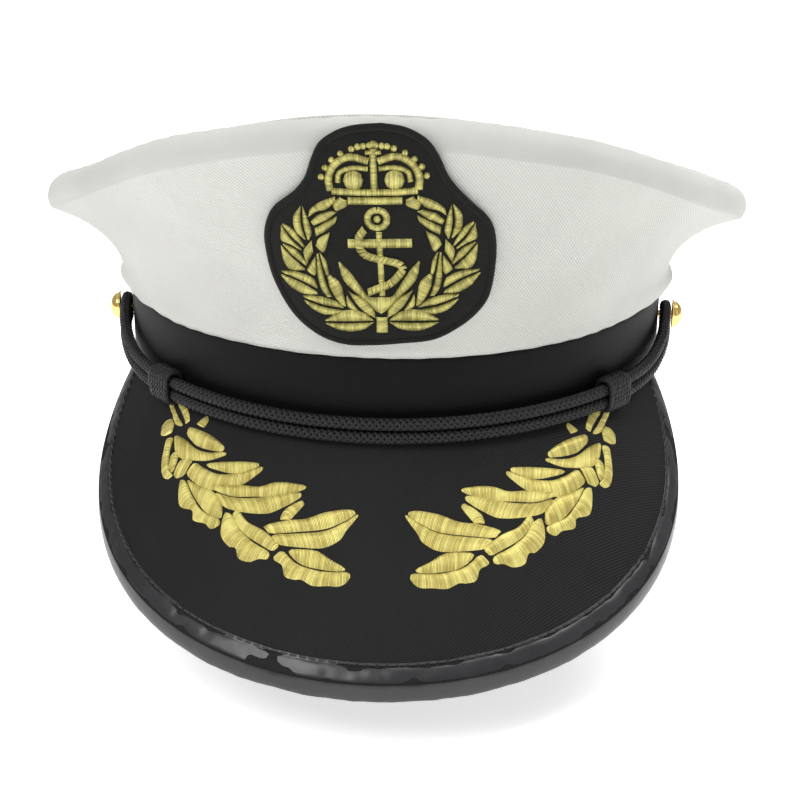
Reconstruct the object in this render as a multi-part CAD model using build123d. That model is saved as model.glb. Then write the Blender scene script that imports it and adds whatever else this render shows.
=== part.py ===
from build123d import *
from math import acos, asin, atan2, cos, hypot, pi, radians, sin, tan
import os

# Peaked cap in worn orientation: front towards -Y, up +Z, millimetres.
# The origin is the centre of the head opening, in the plane of the band's lower edge.

# Head opening and band, inside to outside
head_half_width = 84.1
head_half_length = 98.1
sweatband_wall = 0.7
washer_gap = 1.1
stiffener_wall = 1.3
band_cover_wall = 0.8
band_height = 24.0
sweatband_height = 24.0
sweatband_foot = 1.2

# Crown: overhang of the rim's centre line beyond the band, and its height every 30 degrees from front to back
rim_front_overhang = 10.0
rim_side_overhang = 18.5
rim_back_overhang = 12.0
rim_heights = [85.6, 78.4, 60.4, 46.3, 43.0, 44.5, 46.0]
rim_radius = 6.5
crown_fabric = 0.9
top_centre_height = 66.0
top_seam_gap = 0.4
hoop_radius = 2.5
hoop_points = 20
ferrule_wall = 0.6
ferrule_overlap = 3.0
interlining_gap = 0.6
interlining_wall = 1.2
interlining_half_angle = 48.0
lining_foot = 3.3
lining_wall = 0.5
lining_gap = 1.0

# Peak
peak_slope = 46.0
peak_half_width = 87.5
peak_widest_y = -69.5
peak_tip_y = -152.0
peak_root_x = 77.0
peak_root_y = -27.0
board_wall = 1.6
peak_cover_wall = 0.6
peak_lining_wall = 0.5
lip_width = 4.0
lip_wall = 1.4
lip_overlap = 0.4
lip_reach = 58.0
root_share = 0.96
binding_width = 6.5
binding_wall = 0.9
spray_gap = 0.2
spray_wall = 0.8

# Badge
badge_centre_x = -3.0
badge_low_z = 26.5
badge_height = 61.5
badge_half_width = 29.2
badge_gap = 0.35
badge_backing_wall = 0.6
badge_felt_wall = 1.0
badge_edge_width = 1.6
badge_edge_rise = 0.5
badge_relief = 0.8
badge_half_angle = 26.0

# Side buttons
button_angle = 82.0
button_height = 12.0
dome_radius = 4.9
dome_height = 3.5
dome_wall = 0.4
dome_standoff = 4.45
shank_radius = 1.2
shank_clearance = 0.1
rivet_radius = 2.0
rivet_wall = 0.35
washer_radius = 4.0
washer_wall = 0.35

# Chin cord and its slide knots
cord_diameter = 3.8
cord_pitch = 3.9
cord_standoff = 3.9
knot_angle = 46.0
knot_length = 9.0
knot_wall = 0.8
knot_clearance = 0.5
knot_low_z = 3.0

band_half_width = head_half_width + sweatband_wall + washer_gap + stiffener_wall + band_cover_wall
band_half_length = head_half_length + band_half_width - head_half_width
slant = 1.0 / cos(radians(peak_slope))


def save(node, shape):
    """Write one node."""
    export_step(shape, f"parts/{node}.step")
    print(f"{node:24s} {shape.volume:10.1f} mm3  valid {shape.is_valid}")


# ---- shared surfaces -------------------------------------------------------------------------------------

def station_value(alpha, values):
    """Smooth value at an angle from the front, from values at equal steps between front and back."""
    place = acos(max(-1.0, min(1.0, cos(alpha)))) / pi * (len(values) - 1)
    index = min(int(place), len(values) - 2)
    part = place - index
    before = values[abs(index - 1)]
    low = values[index]
    high = values[index + 1]
    after = values[index + 2] if index + 2 < len(values) else low
    low_slope = (high - before) / 2
    high_slope = (after - low) / 2
    rise = high - low
    return low + part * (low_slope + part * (3 * rise - 2 * low_slope - high_slope
                                             + part * (low_slope + high_slope - 2 * rise)))


def rim_overhang(alpha):
    end = rim_front_overhang if cos(alpha) > 0 else rim_back_overhang
    return rim_side_overhang * sin(alpha) ** 2 + end * cos(alpha) ** 2


def at_angle(alpha, out, z):
    """A point at an angle from the front, a distance outside the band."""
    return ((band_half_width + out) * sin(alpha), -(band_half_length + out) * cos(alpha), z)


def side_slope(alpha):
    """Angle of the taut side cloth, tangent to the rim's roll."""
    across = rim_overhang(alpha)
    up = station_value(alpha, rim_heights) - band_height
    return atan2(up, across) - asin(rim_radius / hypot(across, up))


def crown_point(alpha, inset, step):
    """The side cloth: step 0 to 1 runs up the straight side, 1 to 2 round the rim to its crest."""
    slope = side_slope(alpha)
    rim_out = rim_overhang(alpha)
    rim_z = station_value(alpha, rim_heights)
    radius = rim_radius - inset
    if step > 1:
        turn = slope - pi / 2 + (pi - slope) * (step - 1)
        return at_angle(alpha, rim_out + radius * cos(turn), rim_z + radius * sin(turn))
    tangent_out = rim_out + radius * sin(slope)
    tangent_z = rim_z - radius * cos(slope)
    run = (tangent_z - band_height) / tan(slope) * (1 - step)
    return at_angle(alpha, tangent_out - run, tangent_z - run * tan(slope))


def top_height(x, y):
    """Height of the top panel's upper face, from its crest at the rim to its low centre."""
    out = rim_side_overhang
    for _ in range(4):
        alpha = atan2(x / (band_half_width + out), -y / (band_half_length + out))
        out = rim_overhang(alpha)
    share = hypot(x / (band_half_width + out), y / (band_half_length + out))
    crest = station_value(alpha, rim_heights) + rim_radius
    return top_centre_height + (crest - top_centre_height) * share ** 2


def peak_height(x, y):
    """The peak is a cone-like sheet that falls at one slope away from the band."""
    reach = hypot(x, y)
    share = hypot(x / band_half_width, y / band_half_length)
    return -tan(radians(peak_slope)) * (reach - reach / share)


def sheet_solid(low_points, high_points):
    """A closed solid between two grids of points."""
    low = Face.make_surface_from_array_of_points(low_points, tol=0.01)
    high = Face.make_surface_from_array_of_points(high_points, tol=0.01)
    sides = [Face.make_surface_from_curves(edge, partner) for edge, partner in zip(low.edges(), high.edges())]
    solid = Solid(Shell([low, high] + sides))
    return solid if solid.volume > 0 else Solid(solid.wrapped.Reversed())


def crown_sheet(start, end, low_inset, high_inset, steps, count=25):
    """A layer of the crown's side between two angles and two insets."""
    angles = [radians(start + (end - start) * i / (count - 1)) for i in range(count)]
    grids = [[Vector(*crown_point(a, inset, s)) for s in steps] for inset in (low_inset, high_inset) for a in angles]
    return sheet_solid(grids[:count], grids[count:])


def slab(height, low, high, half_x, low_y, high_y, across=19, along=17):
    """A layer that follows a height function over a rectangle."""
    def grid(offset):
        rows = []
        for i in range(across):
            x = -half_x + 2 * half_x * i / (across - 1)
            column = [low_y + (high_y - low_y) * j / (along - 1) for j in range(along)]
            rows.append([Vector(x, y, height(x, y) + offset) for y in column])
        return rows
    return sheet_solid(grid(low), grid(high))


def band_ring(inner, outer, low_z, high_z):
    """A ring of the band between two distances inside its outer face."""
    shape = Ellipse(band_half_width - outer, band_half_length - outer)
    shape -= Ellipse(band_half_width - inner, band_half_length - inner)
    return extrude(Plane.XY.offset(low_z) * shape, high_z - low_z)


# ---- side buttons' places --------------------------------------------------------------------------------

def button_plane(side):
    """A plane on the band's face under a button, with its normal pointing out."""
    alpha = radians(button_angle)
    x, y, z = at_angle(alpha, 0, button_height)
    lean = atan2(cos(alpha) / band_half_length, sin(alpha) / band_half_width)
    return Plane(origin=(side * x, y, z), x_dir=(side * sin(lean), cos(lean), 0),
                 z_dir=(side * cos(lean), -sin(lean), 0))


def bar(plane, radius, low, high):
    return plane * (Pos(0, 0, low) * extrude(Circle(radius), high - low))


# ---- band ------------------------------------------------------------------------------------------------

cover_in = band_cover_wall
stiffener_in = cover_in + stiffener_wall
sweatband_out = stiffener_in + washer_gap
sweatband_in = sweatband_out + sweatband_wall

band_cover = band_ring(cover_in, 0, 0, band_height)
band_stiffener = band_ring(stiffener_in, cover_in, 0, band_height)
sweatband = band_ring(sweatband_in, sweatband_out, 0, sweatband_height)
sweatband += band_ring(sweatband_out, stiffener_in, 0, sweatband_foot)
for side in (-1, 1):
    hole = bar(button_plane(side), shank_radius + shank_clearance, -stiffener_in - 0.5, 1)
    band_cover -= hole
    band_stiffener -= hole

# ---- crown -----------------------------------------------------------------------------------------------

side_steps = [0, 0.15, 0.3, 0.45, 0.6, 0.72, 0.82, 0.9, 0.96, 1.04, 1.15, 1.3, 1.45, 1.6, 1.8, 2]
crown_front_panel = crown_sheet(-90, 90, 0, crown_fabric, side_steps)
crown_back_panel = crown_sheet(90, 270, 0, crown_fabric, side_steps)


def top_plan(inward, count=24):
    """The oval under the rim's crest, drawn in by a distance."""
    points = []
    for i in range(count):
        alpha = 2 * pi * i / count - pi
        points.append(at_angle(alpha, rim_overhang(alpha) - inward, 0))
    return make_face(Spline(*points, periodic=True))


def top_layer(low, high, inward):
    reach_x = band_half_width + rim_side_overhang + 3
    reach_y = band_half_length + max(rim_front_overhang, rim_back_overhang) + 3
    layer = slab(top_height, low, high, reach_x, -reach_y, reach_y)
    return layer & extrude(top_plan(inward), 200)


crown_top_panel = top_layer(-crown_fabric, 0, top_seam_gap)

hoop_path = []
for i in range(hoop_points + 1):
    turn = (0.5 + i) / (hoop_points + 1) * 2 * pi - pi
    hoop_path.append(at_angle(turn, rim_overhang(turn), station_value(turn, rim_heights)))


def tube(points, radius, label):
    """A round bar along straight runs joined by the largest tangent arcs that they allow."""
    places = [Vector(*p) for p in points]
    radii = []
    for a, b, c in zip(places, places[1:], places[2:]):
        half_turn = radians((b - a).get_angle(c - b)) / 2
        radii.append(0.45 * min((b - a).length, (c - b).length) / tan(half_turn))
    path = FilletPolyline(*places, radius=radii)
    section = Plane(origin=path @ 0, z_dir=path % 0) * Circle(radius)
    shape = sweep(section, path=path, transition=Transition.RIGHT)
    share = shape.volume / (pi * radius ** 2 * path.length)
    print(f"{label}: length {path.length:.1f}, radii", [round(r, 1) for r in radii])
    print(f"{label}: volume over section times length {share:.4f}")
    return shape


crown_hoop = tube(hoop_path, hoop_radius, "crown hoop")
hoop_ends = [Vector(*hoop_path[0]), Vector(*hoop_path[-1])]
seam_middle = (hoop_ends[0] + hoop_ends[1]) / 2
seam_along = (hoop_ends[1] - hoop_ends[0]).normalized()
ferrule_plane = Plane(origin=seam_middle, z_dir=seam_along)
hoop_gap = (hoop_ends[1] - hoop_ends[0]).length
crown_hoop_ferrule = bar(ferrule_plane, hoop_radius + ferrule_wall, -hoop_gap / 2 - ferrule_overlap,
                         hoop_gap / 2 + ferrule_overlap)
crown_hoop_ferrule -= crown_hoop
crown_hoop_ferrule = crown_hoop_ferrule.solids().sort_by(SortBy.VOLUME)[-1]

front_interlining = crown_sheet(-interlining_half_angle, interlining_half_angle, crown_fabric + interlining_gap,
                                crown_fabric + interlining_gap + interlining_wall, [0, 0.3, 0.6, 0.9], 15)


def lining_sheet(start, end, count=25):
    """Side lining that stands on the sweatband's top edge and leans out with the crown."""
    grids = []
    for extra in (0, lining_wall):
        grid = []
        for i in range(count):
            alpha = radians(start + (end - start) * i / (count - 1))
            inset = lining_foot * sin(side_slope(alpha)) + extra
            grid.append([Vector(*crown_point(alpha, inset, step)) for step in (0, 0.3, 0.6, 0.8, 0.95)])
        grids.append(grid)
    return sheet_solid(*grids)


lining_front = lining_sheet(-90, 90)
lining_back = lining_sheet(90, 270)
lining_drop = crown_fabric + 2 * hoop_radius + lining_gap
lining_top = top_layer(-lining_drop - lining_wall, -lining_drop, 2 * hoop_radius)

# ---- peak ------------------------------------------------------------------------------------------------

side_radius = ((peak_half_width - peak_root_x) ** 2 + (peak_root_y - peak_widest_y) ** 2) / (
    2 * (peak_half_width - peak_root_x))


def outline_point(turn, inset):
    """The peak's outline from above: degrees round its front ellipse, then on round its side arcs."""
    side = 1 if turn > 0 else -1
    angle = radians(min(abs(turn), 90))
    beyond = radians(max(abs(turn) - 90, 0))
    x = (peak_half_width - inset) * sin(angle) - side_radius * (1 - cos(beyond))
    y = peak_widest_y - (peak_widest_y - peak_tip_y - inset) * cos(angle) + side_radius * sin(beyond)
    return Vector(side * x, y)


def band_share(point):
    return hypot(point.X / band_half_width, point.Y / band_half_length)


def outline_end(inset):
    """How far round the outline reaches before it meets the band."""
    turn = 90.0
    while band_share(outline_point(turn, inset)) > 1:
        turn += 0.05
    return turn


def band_side(turn, end):
    """The band's point across from a point of an outline that ends at the band."""
    last = outline_point(end, 0)
    alpha = asin(last.X / band_half_width / band_share(last)) * turn / end
    return Vector(band_half_width * sin(alpha), -band_half_length * cos(alpha))


def peak_sheet(low, high, inner_inset, outer_inset, count=49):
    """A layer of the peak between two distances off its middle surface, from an inset (or the band) out."""
    end = outline_end(outer_inset)
    shares = [0, 0.2, 0.4, 0.6, 0.8, 1.0]
    grids = []
    for out in (low, high):
        grid = []
        for i in range(count):
            turn = end * root_share * (2 * i / (count - 1) - 1)
            edge = outline_point(turn, outer_inset)
            inner = band_side(turn, end) if inner_inset is None else outline_point(turn, inner_inset)
            spots = [inner + (edge - inner) * share for share in shares]
            grid.append([Vector(p.X, p.Y, peak_height(p.X, p.Y) + out * slant) for p in spots])
        grids.append(grid)
    return sheet_solid(*grids)


def peak_layer(low, high, plan):
    """A layer of the peak over an outline drawn from above."""
    reach_x = peak_half_width + 6
    layer = slab(peak_height, low * slant, high * slant, reach_x, peak_tip_y - 6, peak_root_y + 2)
    return layer & extrude(Plane.XY.offset(-band_half_length) * plan, 2 * band_half_length)


plan_binding_wall = binding_wall * cos(radians(peak_slope))
plan_binding_width = binding_width * cos(radians(peak_slope))
board_low = -board_wall / 2
board_high = board_wall / 2
cover_high = board_high + peak_cover_wall
lining_low = board_low - peak_lining_wall

lip_front = Pos(0, -band_half_length) * Rectangle(2 * band_half_width, 2 * lip_reach)
lip_plan = (Ellipse(band_half_width + lip_overlap, band_half_length + lip_overlap)
            - Ellipse(band_half_width - lip_width, band_half_length - lip_width)) & lip_front
peak_board = peak_sheet(board_low, board_high, None, plan_binding_wall)
peak_board += extrude(lip_plan, -lip_wall)
peak_cover = peak_sheet(board_high, cover_high, None, plan_binding_wall)
peak_lining = peak_sheet(lining_low, board_low, None, plan_binding_wall)
# The binding folds round the edge: a flap above, a flap below and the wall that joins them.
peak_binding = Compound(children=[
    peak_sheet(cover_high, cover_high + binding_wall, plan_binding_width, plan_binding_wall),
    peak_sheet(lining_low - binding_wall, lining_low, plan_binding_width, plan_binding_wall),
    peak_sheet(lining_low - binding_wall, cover_high + binding_wall, plan_binding_wall, 0),
])


def leaf_plan(base, tip, width):
    """A pointed leaf outline between two points, bulged to a width."""
    foot = Vector(*base)
    along = Vector(*tip) - foot
    side = Vector(-along.Y, along.X).normalized() * (width / 2)
    middle = foot + along * 0.45
    left = ThreePointArc(foot, middle + side, foot + along)
    right = ThreePointArc(foot, middle - side, foot + along)
    return make_face([left, right])


# Leaves of the left spray: base, tip and width, from the top of the peak down to its front
spray_leaves = [
    ((-59, -90), (-63, -82), 7), ((-57, -91), (-52, -90), 4), ((-61, -98), (-66.5, -86), 5),
    ((-60, -90), (-44.5, -100), 7), ((-57, -92), (-33, -105), 9), ((-50, -103), (-20.5, -112), 9),
    ((-59, -98), (-48, -114), 11), ((-35, -114), (-21.5, -115), 5), ((-47, -110), (-30, -126), 13),
    ((-36, -117), (-6, -119), 10), ((-35, -120), (-7.5, -131), 12),
]
# The stem under them
spray_stem = [(-59.5, -87), (-56, -99), (-47, -110), (-34, -118)]


def leaf_spray(side):
    shape = None
    for base, tip, width in spray_leaves:
        leaf = leaf_plan((-side * base[0], base[1]), (-side * tip[0], tip[1]), width)
        shape = leaf if shape is None else shape + leaf
    for a, b in zip(spray_stem, spray_stem[1:]):
        shape += leaf_plan((-side * a[0], a[1] + 1), (-side * b[0], b[1] - 1), 4)
    return peak_layer(cover_high + spray_gap, cover_high + spray_gap + spray_wall, shape)


leaf_spray_left = leaf_spray(-1)
leaf_spray_right = leaf_spray(1)

# ---- badge -----------------------------------------------------------------------------------------------

def badge_layer(low, high, plan):
    """A layer that stands off the front of the crown, over an outline drawn in X and Z."""
    count = 13
    steps = [-0.05, 0.3, 0.6, 0.85, 1.0]

    def grid(out):
        rows = []
        for i in range(count):
            alpha = radians(badge_half_angle * (2 * i / (count - 1) - 1))
            foot = crown_point(alpha, 0, 0)
            head = crown_point(alpha, 0, 1)
            scale = 1 + out / hypot(foot[0], foot[1])
            rows.append([Vector((foot[0] + (head[0] - foot[0]) * s * 1.1) * scale,
                                (foot[1] + (head[1] - foot[1]) * s * 1.1) * scale,
                                foot[2] + (head[2] - foot[2]) * s * 1.1) for s in steps])
        return rows
    prism = extrude(Plane.XZ.offset(band_half_length - 12) * plan, 40)
    return sheet_solid(grid(low), grid(high)) & prism


def badge_outline(inset):
    """A rounded shield with a lobe at its top for the coronet: half widths as shares, from top to foot."""
    half_width = badge_half_width - inset
    height = badge_height - 2 * inset
    low_z = badge_low_z + inset
    shares = [(0.38, 0.965), (0.53, 0.885), (0.62, 0.79), (0.72, 0.715), (0.89, 0.645), (1.0, 0.54),
              (1.0, 0.41), (0.96, 0.29), (0.82, 0.155), (0.5, 0.035)]
    right = [(badge_centre_x + half_width * w, low_z + height * h) for w, h in shares]
    left = [(2 * badge_centre_x - x, z) for x, z in reversed(right)]
    top = (badge_centre_x, low_z + height)
    foot = (badge_centre_x, low_z)
    return make_face(Spline(top, *right, foot, *left, periodic=True))


badge_inner_plan = badge_outline(badge_edge_width)
backing_out = badge_gap + badge_backing_wall
felt_out = backing_out + badge_felt_wall
badge_backing = badge_layer(badge_gap, backing_out, badge_outline(badge_edge_width / 2))
badge_patch = badge_layer(backing_out, felt_out, badge_inner_plan)
badge_border = badge_layer(backing_out, felt_out + badge_edge_rise, badge_outline(0) - badge_inner_plan)


def badge_place(across, up):
    """A point of the badge from its centre line and its foot."""
    return (badge_centre_x + across, badge_low_z + up)


def badge_strip(points, width):
    """A strip of one width through points on the badge."""
    shape = None
    for a, b in zip(points, points[1:]):
        start = Vector(*badge_place(*a))
        along = Vector(*badge_place(*b)) - start
        piece = Plane(origin=start + along / 2, x_dir=along, z_dir=(0, 0, 1)) * SlotOverall(along.length + width, width)
        shape = piece if shape is None else shape + piece
    return shape


coronet_base_up = 41.5
coronet_rise = 8.5
coronet_plan = badge_strip([(-9, coronet_base_up), (9, coronet_base_up)], 3)
for lean in (-50, -25, 0, 25, 50):
    reach = coronet_rise / cos(radians(lean / 2))
    tip = (reach * sin(radians(lean)) * 1.5, coronet_base_up + reach * cos(radians(lean)) + 3)
    coronet_plan += badge_strip([(lean / 50 * 8, coronet_base_up), tip], 2)
    coronet_plan += Pos(*badge_place(*tip)) * Circle(2)
badge_coronet = badge_layer(felt_out, felt_out + badge_relief, coronet_plan)

anchor_foot = 9.5
anchor_head = 33.0
anchor_plan = badge_strip([(0, anchor_foot), (0, anchor_head)], 2.2)
anchor_plan += badge_strip([(-6.5, 28), (6.5, 28)], 2)
anchor_plan += Pos(*badge_place(0, anchor_head + 2.2)) * (Circle(2.6) - Circle(1.2))
anchor_plan += badge_strip([(-9, 16), (-6, 11.5), (0, anchor_foot), (6, 11.5), (9, 16)], 2.2)
badge_anchor = badge_layer(felt_out, felt_out + badge_relief, anchor_plan)

rope_plan = badge_strip([(-2, 31), (-3.4, 26), (2, 22), (4.4, 19), (-1, 15), (-3, 13)], 1.4)
badge_rope = badge_layer(felt_out + badge_relief, felt_out + 2 * badge_relief, rope_plan)

wreath_plan = None
wreath_radius = 20.5
for side in (-1, 1):
    for i in range(6):
        turn = radians(-62 + 17 * i)
        base = badge_place(side * wreath_radius * 0.92 * cos(turn), 24 + wreath_radius * sin(turn))
        for lean, length in ((20, 8.5), (-28, 7.5)):
            heading = turn + pi / 2 + radians(lean)
            tip = (base[0] + side * length * cos(heading), base[1] + length * sin(heading))
            leaf = leaf_plan(base, tip, 3.6)
            wreath_plan = leaf if wreath_plan is None else wreath_plan + leaf
    wreath_plan += badge_strip([(0, 4.2), (side * 9, 4.6), (side * 16, 9)], 1.6)
badge_wreath = badge_layer(felt_out, felt_out + badge_relief, wreath_plan)

# ---- side buttons ----------------------------------------------------------------------------------------


def button_dome(side):
    """A hollow domed shell, closed behind by the button's back."""
    plane = button_plane(side)
    outer = (dome_radius ** 2 + dome_height ** 2) / (2 * dome_height)
    centre = dome_standoff + dome_height - outer
    cap = Pos(0, 0, centre) * (Sphere(outer) - Sphere(outer - dome_wall))
    cap &= Pos(0, 0, dome_standoff) * extrude(Circle(dome_radius + 1), dome_height + 1)
    return plane * cap


def button_back(side):
    """The back disc with its shank through the band and the rivet head inside."""
    plane = button_plane(side)
    inner = (dome_radius ** 2 + dome_height ** 2) / (2 * dome_height) - dome_wall
    centre = dome_standoff + dome_height - inner - dome_wall
    disc_radius = (inner ** 2 - (dome_standoff + dome_wall - centre) ** 2) ** 0.5 - 0.02
    rivet_low = -stiffener_in - 0.2 - washer_wall - rivet_wall
    shape = bar(plane, disc_radius, dome_standoff, dome_standoff + dome_wall)
    shape += bar(plane, shank_radius, rivet_low, dome_standoff)
    shape += bar(plane, rivet_radius, rivet_low, rivet_low + rivet_wall)
    return shape


def button_washer(side):
    plane = button_plane(side)
    high = -stiffener_in - 0.1
    return (bar(plane, washer_radius, high - washer_wall, high)
            - bar(plane, shank_radius + shank_clearance, high - 1, high + 1))


# ---- chin cord -------------------------------------------------------------------------------------------
# The right loop: from the left knot along the top, round the right button and back into the right knot.
right_loop_points = [
    (-64.4, -75.7, 6.8), (-54.3, -86.1, 6.7), (-37.6, -97.2, 6.3), (-19.2, -104.1, 6.0), (0.8, -106.4, 5.9),
    (19.2, -104.1, 6.0), (37.6, -97.2, 6.3), (54.3, -86.1, 6.7), (68.1, -71.9, 6.9), (79.0, -54.7, 7.7),
    (85.2, -38.7, 10.6), (88.2, -24.4, 14.2), (89.86, -10.9, 15.5), (89.86, -10.9, 8.5), (88.2, -24.4, 9.2),
    (85.2, -38.7, 6.8), (79.0, -54.7, 3.8), (68.1, -71.9, 3.0), (64.4, -75.7, 2.9),
]
# The left loop mirrors it with the strands the other way up across the front.
left_loop_points = [
    (64.4, -75.7, 2.9), (54.3, -86.1, 2.8), (37.6, -97.2, 2.4), (19.2, -104.1, 2.1), (-0.8, -106.4, 2.0),
    (-19.2, -104.1, 2.1), (-37.6, -97.2, 2.4), (-54.3, -86.1, 2.8), (-68.1, -71.9, 3.0), (-79.0, -54.7, 3.8),
    (-85.2, -38.7, 6.8), (-88.2, -24.4, 9.2), (-89.86, -10.9, 8.5), (-89.86, -10.9, 15.5), (-88.2, -24.4, 14.2),
    (-85.2, -38.7, 10.6), (-79.0, -54.7, 7.7), (-68.1, -71.9, 6.9), (-64.4, -75.7, 6.8),
]
chin_cord_right = tube(right_loop_points, cord_diameter / 2, "right loop")
chin_cord_left = tube(left_loop_points, cord_diameter / 2, "left loop")


def slide_knot(side):
    """A bound sleeve round both strands."""
    alpha = radians(knot_angle)
    x, y, z = at_angle(alpha, cord_standoff, knot_low_z + cord_pitch / 2)
    along = Vector(side * cos(alpha) * (band_half_width + cord_standoff),
                   sin(alpha) * (band_half_length + cord_standoff), 0)
    plane = Plane(origin=(side * x, y, z), x_dir=(0, 0, 1), z_dir=along)
    bore = cord_diameter + 2 * knot_clearance
    hole = SlotOverall(cord_pitch + bore, bore)
    wrap = SlotOverall(cord_pitch + bore + 2 * knot_wall, bore + 2 * knot_wall)
    sleeve = extrude(wrap, knot_length / 2, both=True)
    sleeve = fillet(sleeve.edges().filter_by(GeomType.LINE, reverse=True), knot_wall * 0.9)
    return plane * (sleeve - extrude(hole, knot_length, both=True))


# ---- output ----------------------------------------------------------------------------------------------

nodes = {
    "band_cover": band_cover,
    "band_stiffener": band_stiffener,
    "sweatband": sweatband,
    "crown_front_panel": crown_front_panel,
    "crown_back_panel": crown_back_panel,
    "crown_top_panel": crown_top_panel,
    "crown_hoop": crown_hoop,
    "crown_hoop_ferrule": crown_hoop_ferrule,
    "front_interlining": front_interlining,
    "lining_front": lining_front,
    "lining_back": lining_back,
    "lining_top": lining_top,
    "peak_board": peak_board,
    "peak_cover": peak_cover,
    "peak_lining": peak_lining,
    "peak_binding": peak_binding,
    "leaf_spray_left": leaf_spray_left,
    "leaf_spray_right": leaf_spray_right,
    "badge_backing": badge_backing,
    "badge_patch": badge_patch,
    "badge_border": badge_border,
    "badge_coronet": badge_coronet,
    "badge_anchor": badge_anchor,
    "badge_rope": badge_rope,
    "badge_wreath": badge_wreath,
    "chin_cord_left": chin_cord_left,
    "chin_cord_right": chin_cord_right,
}
for name, side in (("left", -1), ("right", 1)):
    nodes[f"slide_knot_{name}"] = slide_knot(side)
    nodes[f"button_dome_{name}"] = button_dome(side)
    nodes[f"button_back_{name}"] = button_back(side)
    nodes[f"button_washer_{name}"] = button_washer(side)

os.makedirs("parts", exist_ok=True)
for name, shape in nodes.items():
    save(name, shape)
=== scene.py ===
import bpy
import bmesh
import random
from math import acos, asin, atan2, ceil, cos, exp, hypot, pi, radians, sin, tan
from mathutils import Matrix, Vector, noise


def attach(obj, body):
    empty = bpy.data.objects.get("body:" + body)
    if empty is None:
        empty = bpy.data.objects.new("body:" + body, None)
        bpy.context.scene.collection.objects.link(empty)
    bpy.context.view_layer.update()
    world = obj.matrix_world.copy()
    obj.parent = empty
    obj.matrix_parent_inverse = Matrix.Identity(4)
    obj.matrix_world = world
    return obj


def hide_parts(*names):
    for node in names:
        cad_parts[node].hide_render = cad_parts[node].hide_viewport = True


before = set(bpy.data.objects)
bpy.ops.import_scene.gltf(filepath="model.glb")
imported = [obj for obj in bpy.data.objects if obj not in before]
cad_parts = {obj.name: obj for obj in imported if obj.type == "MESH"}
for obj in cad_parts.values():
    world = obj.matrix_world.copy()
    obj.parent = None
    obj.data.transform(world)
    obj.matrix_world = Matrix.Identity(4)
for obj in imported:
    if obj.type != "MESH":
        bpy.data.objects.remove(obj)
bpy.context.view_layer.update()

# Military peaked cap: front towards -Y, up +Z. Shape functions work in millimetres, meshes are in metres.
mm = 0.001
scene = bpy.context.scene
random.seed(11)
print("frame loaded")

cameraView = dict(distance=500.0, elevation=20.0, azimuth=1.5, roll=0.495, side=1.265, lift=-23.825,
                  lens=65.18)


def addCamera(view):
    az, el, roll = (radians(view[key]) for key in ("azimuth", "elevation", "roll"))
    back = Vector((sin(az) * cos(el), -cos(az) * cos(el), sin(el)))
    level = Vector((cos(az), sin(az), 0))
    upright = back.cross(level)
    right = level * cos(roll) + upright * sin(roll)
    up = upright * cos(roll) - level * sin(roll)
    place = (back * view["distance"] + right * view["side"] + up * view["lift"]) * mm
    data = bpy.data.cameras.new("camera")
    data.lens = view["lens"]
    data.sensor_width = 36.0
    data.clip_start = 0.01
    cam = bpy.data.objects.new("camera", data)
    turn = Matrix((right, up, back)).transposed()
    cam.matrix_world = Matrix.Translation(place) @ turn.to_4x4()
    scene.collection.objects.link(cam)
    scene.camera = cam


addCamera(cameraView)

# sizes and shapes shared by the pieces
band = dict(halfWidth=88.0, halfLength=102.0, height=24.0)
crown = dict(frontOverhang=10.0, sideOverhang=18.5, backOverhang=12.0, rimRadius=6.5, cloth=0.9,
             centreHeight=66.0,
             rimHeights=(85.6, 78.4, 60.4, 46.3, 43.0, 44.5, 46.0))
peak = dict(slope=46.0, halfWidth=87.5, widestY=-69.5, tipY=-152.0, sideRadius=91.26, sideTurn=20.5,
            ellipseShare=0.806,
            rootAngle=68.4, coverHigh=1.4, liningLow=-1.3, bindingWall=0.9)


def blendSteps(place, values):
    # smooth value at a place counted in steps along a list
    index = max(0, min(int(place), len(values) - 2))
    part = place - index
    before = values[index - 1] if index else values[1]
    low, high = values[index], values[index + 1]
    after = values[index + 2] if index + 2 < len(values) else low
    lowSlope, highSlope, rise = (high - before) / 2, (after - low) / 2, high - low
    bend = 3 * rise - 2 * lowSlope - highSlope
    return low + part * (lowSlope + part * (bend + part * (lowSlope + highSlope - 2 * rise)))


def rimHeight(alpha):
    return blendSteps(acos(max(-1.0, min(1.0, cos(alpha)))) / pi * 6, crown["rimHeights"])


def rimOverhang(alpha):
    end = crown["frontOverhang"] if cos(alpha) > 0 else crown["backOverhang"]
    return crown["sideOverhang"] * sin(alpha) ** 2 + end * cos(alpha) ** 2


def atAngle(alpha, out, z):
    return Vector(((band["halfWidth"] + out) * sin(alpha), -(band["halfLength"] + out) * cos(alpha), z))


def sideSlope(alpha):
    across = rimOverhang(alpha)
    up = rimHeight(alpha) - band["height"]
    return atan2(up, across) - asin(crown["rimRadius"] / hypot(across, up))


def crownPoint(alpha, inset, step):
    # steps 0 to 1 climb the taut side, 1 to 2 go round the rim to its crest
    slope = sideSlope(alpha)
    rimOut, rimZ, radius = rimOverhang(alpha), rimHeight(alpha), crown["rimRadius"] - inset
    if step > 1:
        turn = slope - pi / 2 + (pi - slope) * (step - 1)
        return atAngle(alpha, rimOut + radius * cos(turn), rimZ + radius * sin(turn))
    tangentOut = rimOut + radius * sin(slope)
    tangentZ = rimZ - radius * cos(slope)
    run = (tangentZ - band["height"]) / tan(slope) * (1 - step)
    return atAngle(alpha, tangentOut - run, tangentZ - run * tan(slope))


def topHeight(alpha, share):
    crest = rimHeight(alpha) + crown["rimRadius"]
    return crown["centreHeight"] + (crest - crown["centreHeight"]) * share ** 2


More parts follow.
